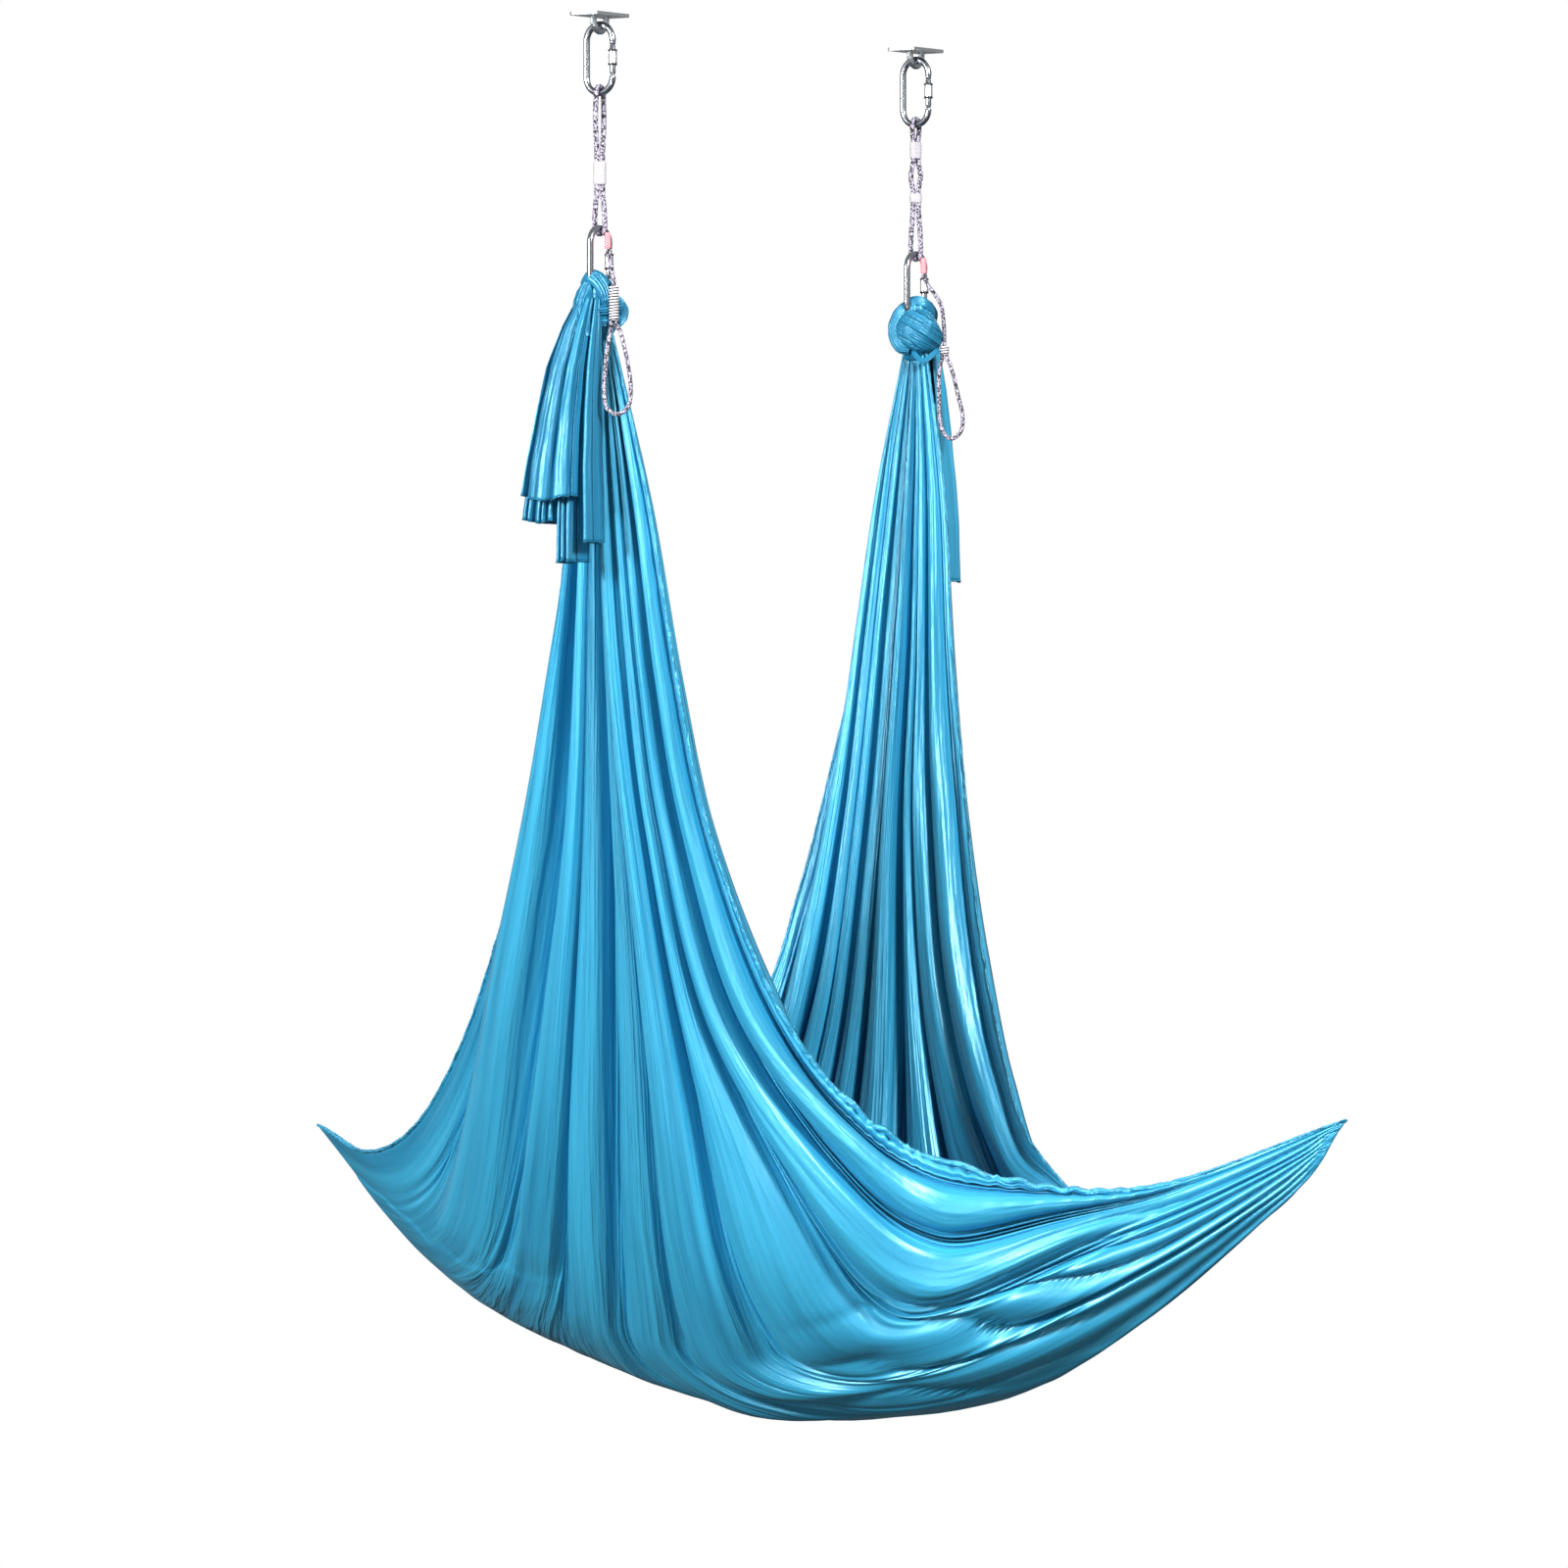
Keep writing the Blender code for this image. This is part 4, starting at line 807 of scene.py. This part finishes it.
def pleated(phase, v):
    """The sling's surface with its pleats, as a grid of points, and how calm the cloth is there."""
    heights = 0.75 + 0.45 * np.random.default_rng(11).random(PLEATS + 1)
    t = np.where(v <= 1, v, 2 - v)[:, None]
    rows = v[:, None]
    middle = ease(phase, 0, 0.6) * ease(PLEATS - phase, 0, 0.6)
    u, local = across_cloth(phase, rows, t, middle)
    smooth = sling_surface(u, v)
    ahead = smooth[..., 0]
    swing = 1.10 * (1 - 0.75 * ease(t, 0.62, 1.0))
    moved = u + swing * local * np.sin(math.tau * phase) / math.tau * middle
    # The stitches of the right hem gather it, so it draws back a little between them.
    gathers = (rows <= 1) * ease(t, 0.52, 0.70) * (1 - 0.5 * ease(t, 0.93, 1.0))
    scallop = np.abs(np.sin(rows * 230 + 1.5 * wander(rows * 40, u * 3, 8)))
    far = ease(tip_distance(smooth), 0.02, 0.40)
    moved = np.clip(moved - 0.012 * far * gathers * scallop * np.exp((u - 1) / 0.02), 0, 1)
    base = sling_surface(moved, v)
    normal = np.cross(np.gradient(smooth, axis=1), np.gradient(smooth, axis=0))
    normal /= np.linalg.norm(normal, axis=2)[..., None] + 1e-12
    side = -1 + 2 * ease(rows, 1.05, 1.3)
    depth = station_values([DEPTHS], t[:, 0]) * np.interp(phase, np.arange(PLEATS + 1), heights)
    depth = depth * (1 - 0.30 * ease(rows, 1.02, 1.12) * (1 - ease(rows, 1.40, 1.65)))
    left_calm = 1 - 0.82 * ease(t, 0.52, 0.86) * (1 - ease(u, 0.30, 0.6))
    left_calm = left_calm * (1 - 0.55 * ease(u, 0.72, 0.95) * (1 - ease(t, 0.35, 0.6)))
    # Toward the right end long folds take over, which run along the bottom edge to the tip.
    share, height = height_share(smooth)
    begun = ease(ahead - 0.7 * share, -0.10, 0.30)
    long_zone = (rows <= 1) * begun * (1 - (1 - ease(ahead, 0.50, 0.76)) * ease(share, 0.36, 0.62))
    # The pleats die away toward the bottom edge, and on the left they end above the doubled cloth.
    fade = ease(rows, 0.80 + 0.10 * ease(u, 0.3, 0.5), 0.98) * (1 - ease(rows, 1.02, 1.25))
    doubled, below = doubled_edge(smooth, rows)
    depth = depth * (1 - 0.85 * below)
    depth = depth * left_calm * middle * far * (1 - 0.9 * fade) * (1 - 0.85 * ease(long_zone, 0, 0.8))
    band = 1 / (1 + (np.abs(phase - np.round(phase)) / 0.23) ** 5)
    bulge = (0.78 * band - 0.40 + 0.18 * np.cos(math.tau * phase)
             + 0.32 * (1 - band) * np.cos(6 * math.tau * phase))
    out = side * depth * bulge
    out += 0.0030 * wander(phase * 2.4, rows * 3, 12) * ease(t, 0.10, 0.35) * (1 - 0.6 * fade) * far
    out += 0.0022 * wander(u * 130, rows * 9, 5) * ease(t, 0.0, 0.15) * (1 - 0.5 * ease(t, 0.6, 1)) * far
    hem = np.exp((u - 1) / 0.02) + 0.6 * np.exp(-u / 0.02)
    out += 0.0012 * hem * far * wander(u * 60, rows * 190, 8)
    out += 0.0075 * gathers * (scallop - 0.6) * np.exp((u - 1) / 0.035) * far
    # Each pleat of the right half parts into three finer folds, which run into its end.
    finer = ease(rows, 0.66, 0.90) * (1 - ease(rows, 1.1, 1.3)) * ease(u, 0.36, 0.60) * (1 - 0.7 * fade)
    parted = ridge(phase * 3 + 0.5 * wander(phase * 2, rows * 4, 17))
    out += side * finer * (1 - ease(long_zone, 0, 0.5)) * 0.0042 * parted
    out -= long_zone * long_folds(share, height, ahead)
    out -= doubled * 0.0024
    calm = np.maximum(ease(long_zone, 0, 0.5), ease(-ahead, 0.45, 0.70)) * (rows <= 1)
    calm = calm + ease(ahead, 0.5, 0.8) * (rows > 1)
    return base + normal * out[..., None], calm


def sheet_area(points):
    """The area of a grid of points, in square metres."""
    a = points[1:, :-1] - points[:-1, :-1]
    b = points[:-1, 1:] - points[:-1, :-1]
    return float(np.linalg.norm(np.cross(a, b), axis=2).sum())


# Rows lie closer together where the low folds are.
level = np.linspace(0, 2, 401)
crowd = np.cumsum(1 + 2.5 * ease(level, 0.80, 0.86) * (1 - ease(level, 1.0, 1.06)))
down = np.interp(np.linspace(crowd[0], crowd[-1], ROWS + 1), crowd, level)
phase, v = np.meshgrid(pleat_columns(PLEATS, 12, 24, 0, 0.004), down)
cloth_points, calm = pleated(phase, down)
run = np.linalg.norm(np.diff(cloth_points, axis=1), axis=2).mean(0)
flat_width = np.concatenate([[0], np.cumsum(run)]) / run.sum()
cloth = mesh_object("sling_cloth", cloth_points, grid_faces(*phase.shape),
                    np.stack([flat_width * CLOTH_WIDTH + 0 * v, v * CLOTH_RUN / 2], -1), TRICOT)
cloth.data.attributes.new("calm", "FLOAT", "POINT").data.foreach_set("value", calm.ravel())
thicken(cloth, CLOTH_THICKNESS)
fit(cloth, "sling", "cloth_sling")
print("cloth area, square metres", round(sheet_area(cloth_points), 2), "of", CLOTH_WIDTH * CLOTH_RUN)

# %% [markdown]
# ## Rolled hems
# Both long edges are overlocked and roll into a thin cord of cloth. The roll is a tube that
# follows the sheet's edge, a little uneven where the stitches gather it.

# %% Hems
for name, column in (("hem_left", 0), ("hem_right", -1)):
    edge = cloth_points[:, column]
    path = along(edge[::2], 0.005)
    swell = 0.0026 if name == "hem_right" else 0.0008
    roll = tube(name, path, 10, lambda gone, theta: (
        0.0022 + swell * ease(gone, 0.8, 1.2) * (1 - ease(gone, 1.7, 1.9))
        + 0.0007 * wander(gone * 420, theta, 21)), TRICOT)
    fit(roll, "sling")

# %% [markdown]
# ## Knots
# Each end of the cloth is wound round the carabiner's foot and tied. A knot is a lump of folded
# cloth with gathered strips laid over it, and each strip has fine folds along it. Their lines
# are given as right, near and up from the knot's middle, as the camera sees them, with the
# strip's widths along it, its thickness and how many folds it has.

# %% Knots
KNOT_DROP = 0.436
CORE_LENGTH = 0.088
VIEW_AXES = np.array([RIGHT, -AWAY, (0, 0, 1)])
STRIPS = {
    "a": {
        "shoulder": ([(-0.002, 0.008, 0.036), (-0.018, 0.016, 0.024), (-0.027, 0.028, 0.000),
                      (-0.026, 0.040, -0.030), (-0.024, 0.046, -0.052)],
                     (0.016, 0.026, 0.030, 0.026), 0.016, 5),
        "lower_wrap": ([(-0.020, 0.014, -0.024), (-0.004, 0.027, -0.026), (0.012, 0.026, -0.025),
                        (0.025, 0.008, -0.022), (0.020, -0.014, -0.018)], (0.014, 0.018, 0.016), 0.012, 4),
        "upper_wrap": ([(-0.018, 0.018, -0.012), (-0.002, 0.030, -0.011), (0.014, 0.029, -0.009),
                        (0.027, 0.010, -0.006), (0.020, -0.016, -0.002)], (0.014, 0.018, 0.016), 0.012, 4),
        "over_bar": ([(-0.022, -0.002, 0.024), (-0.012, 0.012, 0.041), (0.001, 0.022, 0.034),
                      (0.011, 0.028, 0.014), (0.013, 0.028, -0.004)],
                     (0.020, 0.028, 0.026, 0.022), 0.014, 7),
        "right_loop": ([(0.008, 0.004, 0.010), (0.024, 0.004, 0.007), (0.035, 0.000, -0.006),
                        (0.033, 0.000, -0.020), (0.020, 0.004, -0.031), (0.004, 0.004, -0.030)],
                       (0.008, 0.013, 0.013, 0.008), 0.010, 4),
    },
    "b": {
        "left_loop": ([(-0.006, 0.008, 0.033), (-0.021, 0.010, 0.024), (-0.031, 0.012, 0.006),
                       (-0.032, 0.014, -0.013), (-0.025, 0.018, -0.029), (-0.010, 0.022, -0.038)],
                      (0.014, 0.021, 0.022, 0.018), 0.016, 6),
        "collar": ([(-0.018, -0.004, 0.020), (-0.008, 0.008, 0.036), (0.010, 0.008, 0.037),
                    (0.024, -0.004, 0.022), (0.020, -0.010, 0.006)], (0.018, 0.026, 0.022), 0.014, 5),
        "satin_band": ([(-0.026, 0.012, 0.010), (-0.014, 0.029, 0.004), (0.004, 0.039, -0.005),
                        (0.020, 0.033, -0.016), (0.031, 0.014, -0.025), (0.026, -0.012, -0.027)],
                       (0.056, 0.070, 0.070, 0.056, 0.036, 0.020), 0.015, 12),
        "piping": ([(-0.006, 0.018, -0.034), (0.004, 0.030, -0.050), (0.013, 0.033, -0.054),
                    (0.023, 0.029, -0.046), (0.032, 0.018, -0.037), (0.030, -0.006, -0.030)],
                   (0.006, 0.006, 0.006), 0.005, 2),
    },
}


def strip(name, places, y, widths, thickness, folds, depth, seed):
    """A gathered strip of cloth laid along a line, bent round the lump below it."""
    path = along(np.array(places) @ VIEW_AXES + (0, y, -KNOT_DROP), 0.0010)
    share = np.linspace(0, 1, len(path))[:, None]
    width = np.interp(share, np.linspace(0, 1, len(widths)), widths)
    ends = 0.35 + 0.65 * ease(share, 0, 0.12) * ease(1 - share, 0, 0.12)
    tangent = np.gradient(path, axis=0)
    tangent /= np.linalg.norm(tangent, axis=1)[:, None]
    out = path - (0, y, -KNOT_DROP - 0.006)
    out -= tangent * (out * tangent).sum(1)[:, None]
    out /= np.linalg.norm(out, axis=1)[:, None]
    theta = np.linspace(0, math.tau, 120, endpoint=False)[None, :]
    across = np.sign(np.cos(theta)) * np.abs(np.cos(theta)) ** 0.75
    high = np.sin(theta)
    slid = across + 0.10 * wander(share * 5, across * 1.5, seed)
    rise = high * thickness / 2 * ends - (across * width / 2) ** 2 / 0.075
    rise = rise + depth * ridge(folds * slid / 2) * np.clip(high * 2, -0.4, 1)
    rise = rise + 0.0005 * wander(share * 50, across * 7, seed + 1)
    points = (path[:, None] + (across * width / 2)[..., None] * np.cross(tangent, out)[:, None]
              + rise[..., None] * out[:, None])
    uv = np.stack([slid * width / 2 * 3, share * len(path) * 0.001 + 0 * across], -1)
    # The strips wear the duller copy of the cloth, whose darker colours are painted shade.
    return closed(name, points, uv, SHADED_TRICOT)


def knot_core(side, y):
    """The lump under the strips, which runs down over the first folds of the sling."""
    path = [(0, y, -KNOT_DROP + 0.036 - CORE_LENGTH * k / 40) for k in range(41)]
    points, uv = tube_rings(path, 120, lambda gone, theta: (
        0.0265 * (1 - np.abs(gone / CORE_LENGTH * 2 - 0.92) ** 3 * 0.42)
        + 0.0016 * ridge(theta * 11 / math.tau + 0.3 * wander(gone * 40, theta, 31))))
    # The lump wears the duller copy of the cloth, whose darker colours are painted shade.
    return closed(f"knot_core_{side}", points, uv * (1, 0.5), SHADED_TRICOT)


for side, y in SIDE_Y.items():
    made = [knot_core(side, y)]
    for number, (part, (places, widths, thickness, folds)) in enumerate(STRIPS[side].items()):
        depth = 0.0013 if part == "satin_band" else 0.0029
        made.append(strip(f"knot_{part}_{side}", places, y, widths, thickness, folds, depth, 40 + number))
    fit(made[0], "sling", f"knot_{side}")
    for piece in made[1:]:
        fit(piece, "sling")
    print("knot", side, "pieces", len(made))

# %% [markdown]
# ## Tails
# The cloth's two ends hang from the knots as tails. The whole 2.8 m width is in each of them, so
# a tail is three or four layers of deep pleats, and their hems end at different heights.
#
# A tail is written as the way it hangs out, half its width at the hem, its shift to one side, its
# length and its face, which is its material: tail A's is the duller copy with painted shade. A layer
# is its length, where it starts and ends across the tail, its pleats' widths, how far it stands out,
# how deep its folds are, and its seed.

# %% Tails
TAILS = {
    # Tail A's face is the duller copy of the cloth, whose darker colours are painted shade.
    "a": {"way": -1, "half": 0.069, "shift": 0.037, "length": 0.37, "face": SHADED_TRICOT,
          "layers": [(0.300, -0.01, 1.02, (1.5, 1.0, 0.6), 0.012, 0.030, 51),
                     (0.332, 0.10, 0.64, (1.0, 0.8, 1.2, 0.7, 1.0, 0.9), -0.020, 0.040, 52),
                     (0.398, 0.60, 0.88, (1.0, 0.7, 1.1, 0.8), -0.021, 0.040, 53),
                     (0.362, 0.96, 1.10, (1.0, 0.7), -0.020, 0.036, 54)]},
    "b": {"way": 1, "half": 0.046, "shift": 0.012, "length": 0.41, "face": TRICOT,
          "layers": [(0.404, 0.00, 1.13, (1.0, 0.8, 1.1, 0.9, 1.6), -0.020, 0.046, 55),
                     (0.380, 0.00, 0.84, (1.0, 1.2, 0.8, 1.0), 0.004, 0.040, 56),
                     (0.350, 0.08, 0.74, (1.0, 0.8, 1.1), 0.022, 0.036, 57)]},
}
TAIL_DOWN = (0.0, 0.11, 0.26, 0.44, 0.62, 0.80, 1.0)
TAIL_WIDTH = (0.24, 0.42, 0.57, 0.70, 0.83, 0.94, 1.0)
TAIL_SPREAD = (0.0, 0.25, 0.50, 0.70, 0.85, 0.95, 1.0)
TAIL_FOLD = (0.30, 0.50, 0.70, 0.85, 0.95, 1.0, 1.0)


def tail_layer(y, setup, length, low, high, widths, behind, deep, seed):
    """One layer of a tail: a grid of points from the knot to its hem."""
    pleats = len(widths)
    phase = pleat_columns(pleats, 10, 32, 0.2, 0)[None, :]
    down = np.linspace(0, 1, 70)[:, None]
    at = lambda shares: np.interp(down * length / 0.40, TAIL_DOWN, shares)
    cuts = np.concatenate([[0], np.cumsum(widths)])
    cuts = low + (high - low) * cuts / cuts[-1]
    turned = phase + 0.06 * wander(phase * 2, down * 4, seed)
    u = np.interp(turned, np.arange(pleats + 1), cuts)
    local = np.interp(phase, np.arange(pleats) + 0.5, np.diff(cuts))
    u = u + 1.05 * local * np.sin(math.tau * phase) / math.tau
    band = 1 / (1 + (np.abs(phase - np.round(phase)) / 0.21) ** 8)
    bulge = (0.84 * band - 0.42 + 0.08 * np.cos(math.tau * phase)
             + 0.26 * (1 - band) * np.cos(8 * math.tau * phase))
    x = (2 * u - 1) * setup["half"] * at(TAIL_WIDTH) - setup["shift"] * at(TAIL_SPREAD)
    outset = 0.0364 + 0.056 * at(TAIL_SPREAD) + behind * at(TAIL_FOLD)
    fine = 0.0009 * wander(u * 50, down * 16, seed + 3)
    out = outset + deep * at(TAIL_FOLD) * bulge + fine
    hem = (0.004 * np.sin(u * 7 + seed) + 0.0015 * wander(u * 40, down, seed + 5)) * ease(down, 0.7, 1)
    z = 0.010 - length * down + hem + 0 * phase
    return np.stack([x, y + setup["way"] * out, z - KNOT_DROP], -1)


for side, y in SIDE_Y.items():
    setup = TAILS[side]
    grids = [tail_layer(y, setup, *layer) for layer in setup["layers"]]
    points, faces, uvs, tail_hems = [], [], [], []
    for number, grid in enumerate(grids):
        start = sum(len(part) for part in points)
        faces += [[start + i for i in face] for face in grid_faces(*grid.shape[:2])]
        points.append(grid.reshape(-1, 3))
        wide = distances(grid[-1])[None, :] + 0.9 * number
        uvs.append(np.stack(np.broadcast_arrays(wide, -grid[..., 2]), -1).reshape(-1, 2))
        roll = tube(f"tail_hem_{side}_{number + 1}", along(grid[-1], 0.0015), 8,
                    lambda gone, theta: 0.0013 + 0.0003 * wander(gone * 500, theta, 61), setup["face"])
        fit(roll, "sling")
        tail_hems.append(roll)
    made = mesh_object(f"tail_cloth_{side}", np.concatenate(points), faces,
                       np.concatenate(uvs), setup["face"])
    thicken(made, CLOTH_THICKNESS)
    fit(made, "sling", f"tail_{side}")
    print("tail", side, "layers", len(grids))

# %% [markdown]
# ## The stage
# The stage is one pale floor that fades to white, so no line crosses the picture. The camera sees
# floor and sky as white, but light meets them darker, so they don't wash out the cloth's blue.

# %% Floor, sky and lamps
FLOOR, tree, shader = start_material("pale_floor", roughness=0.9)
seen = add(tree, "LightPath").outputs["Is Camera Ray"]
paint = add(tree, "Mix", {"data_type": "RGBA"}, {0: seen, 6: colour("#3C3C3C"), 7: colour("#F4F4F4")})
tree.links.new(paint.outputs[2], shader.inputs["Base Color"])
place = add(tree, "TexCoord").outputs["Object"]
far = add(tree, "VectorMath", {"operation": "LENGTH"}, {0: place})
fade = add(tree, "MapRange", {"interpolation_type": "SMOOTHSTEP"},
           {"Value": far.outputs["Value"], "From Min": 0.5, "From Max": 1.25})
share = add(tree, "Math", {"operation": "MULTIPLY"}, {0: fade, 1: seen})
white = add(tree, "Emission", {}, {"Color": (1, 1, 1, 1), "Strength": 1.0})
mixed = add(tree, "MixShader", {}, {0: share, 1: shader, 2: white})
tree.links.new(mixed.outputs[0], tree.nodes["Material Output"].inputs["Surface"])
bpy.ops.mesh.primitive_circle_add(vertices=96, radius=7, fill_type="NGON", location=(0, 0.42, -2.45))
floor = bpy.context.object
floor.name = "floor"
floor.data.materials.append(FLOOR)

world = bpy.data.worlds.new("studio")
bpy.context.scene.world = world
world.use_nodes = True
tree = world.node_tree
rays = add(tree, "LightPath")
gloss = add(tree, "Math", {"operation": "MULTIPLY"}, {0: rays.outputs["Is Glossy Ray"], 1: 0.20})
shown = add(tree, "Math", {"operation": "MAXIMUM"}, {0: rays.outputs["Is Camera Ray"], 1: gloss})
level = add(tree, "MapRange", {}, {"Value": shown, "To Min": 0.22, "To Max": 1.0})
tree.links.new(level.outputs["Result"], tree.nodes["Background"].inputs["Strength"])
tree.nodes["Background"].inputs["Color"].default_value = (1, 1, 1, 1)


def lamp(name, right, near, up, size, power):
    """A soft square lamp, placed from the middle of the object and turned to it."""
    data = bpy.data.lights.new(name, "AREA")
    data.size = size
    data.energy = power
    made = bpy.data.objects.new(name, data)
    bpy.context.scene.collection.objects.link(made)
    made.location = CENTRE + RIGHT * right - AWAY * near + Vector((0, 0, up))
    made.rotation_euler = (CENTRE - made.location).to_track_quat("-Z", "Y").to_euler()


lamp("key", -4.8, 4.6, 1.9, 1.3, 740)
lamp("right", 3.4, 5.0, 3.6, 1.3, 690)
lamp("low", -0.6, 5.0, -1.6, 1.4, 120)
lamp("back", 0.6, -3.2, 2.4, 2.0, 50)
print("stage of one floor and four lamps")
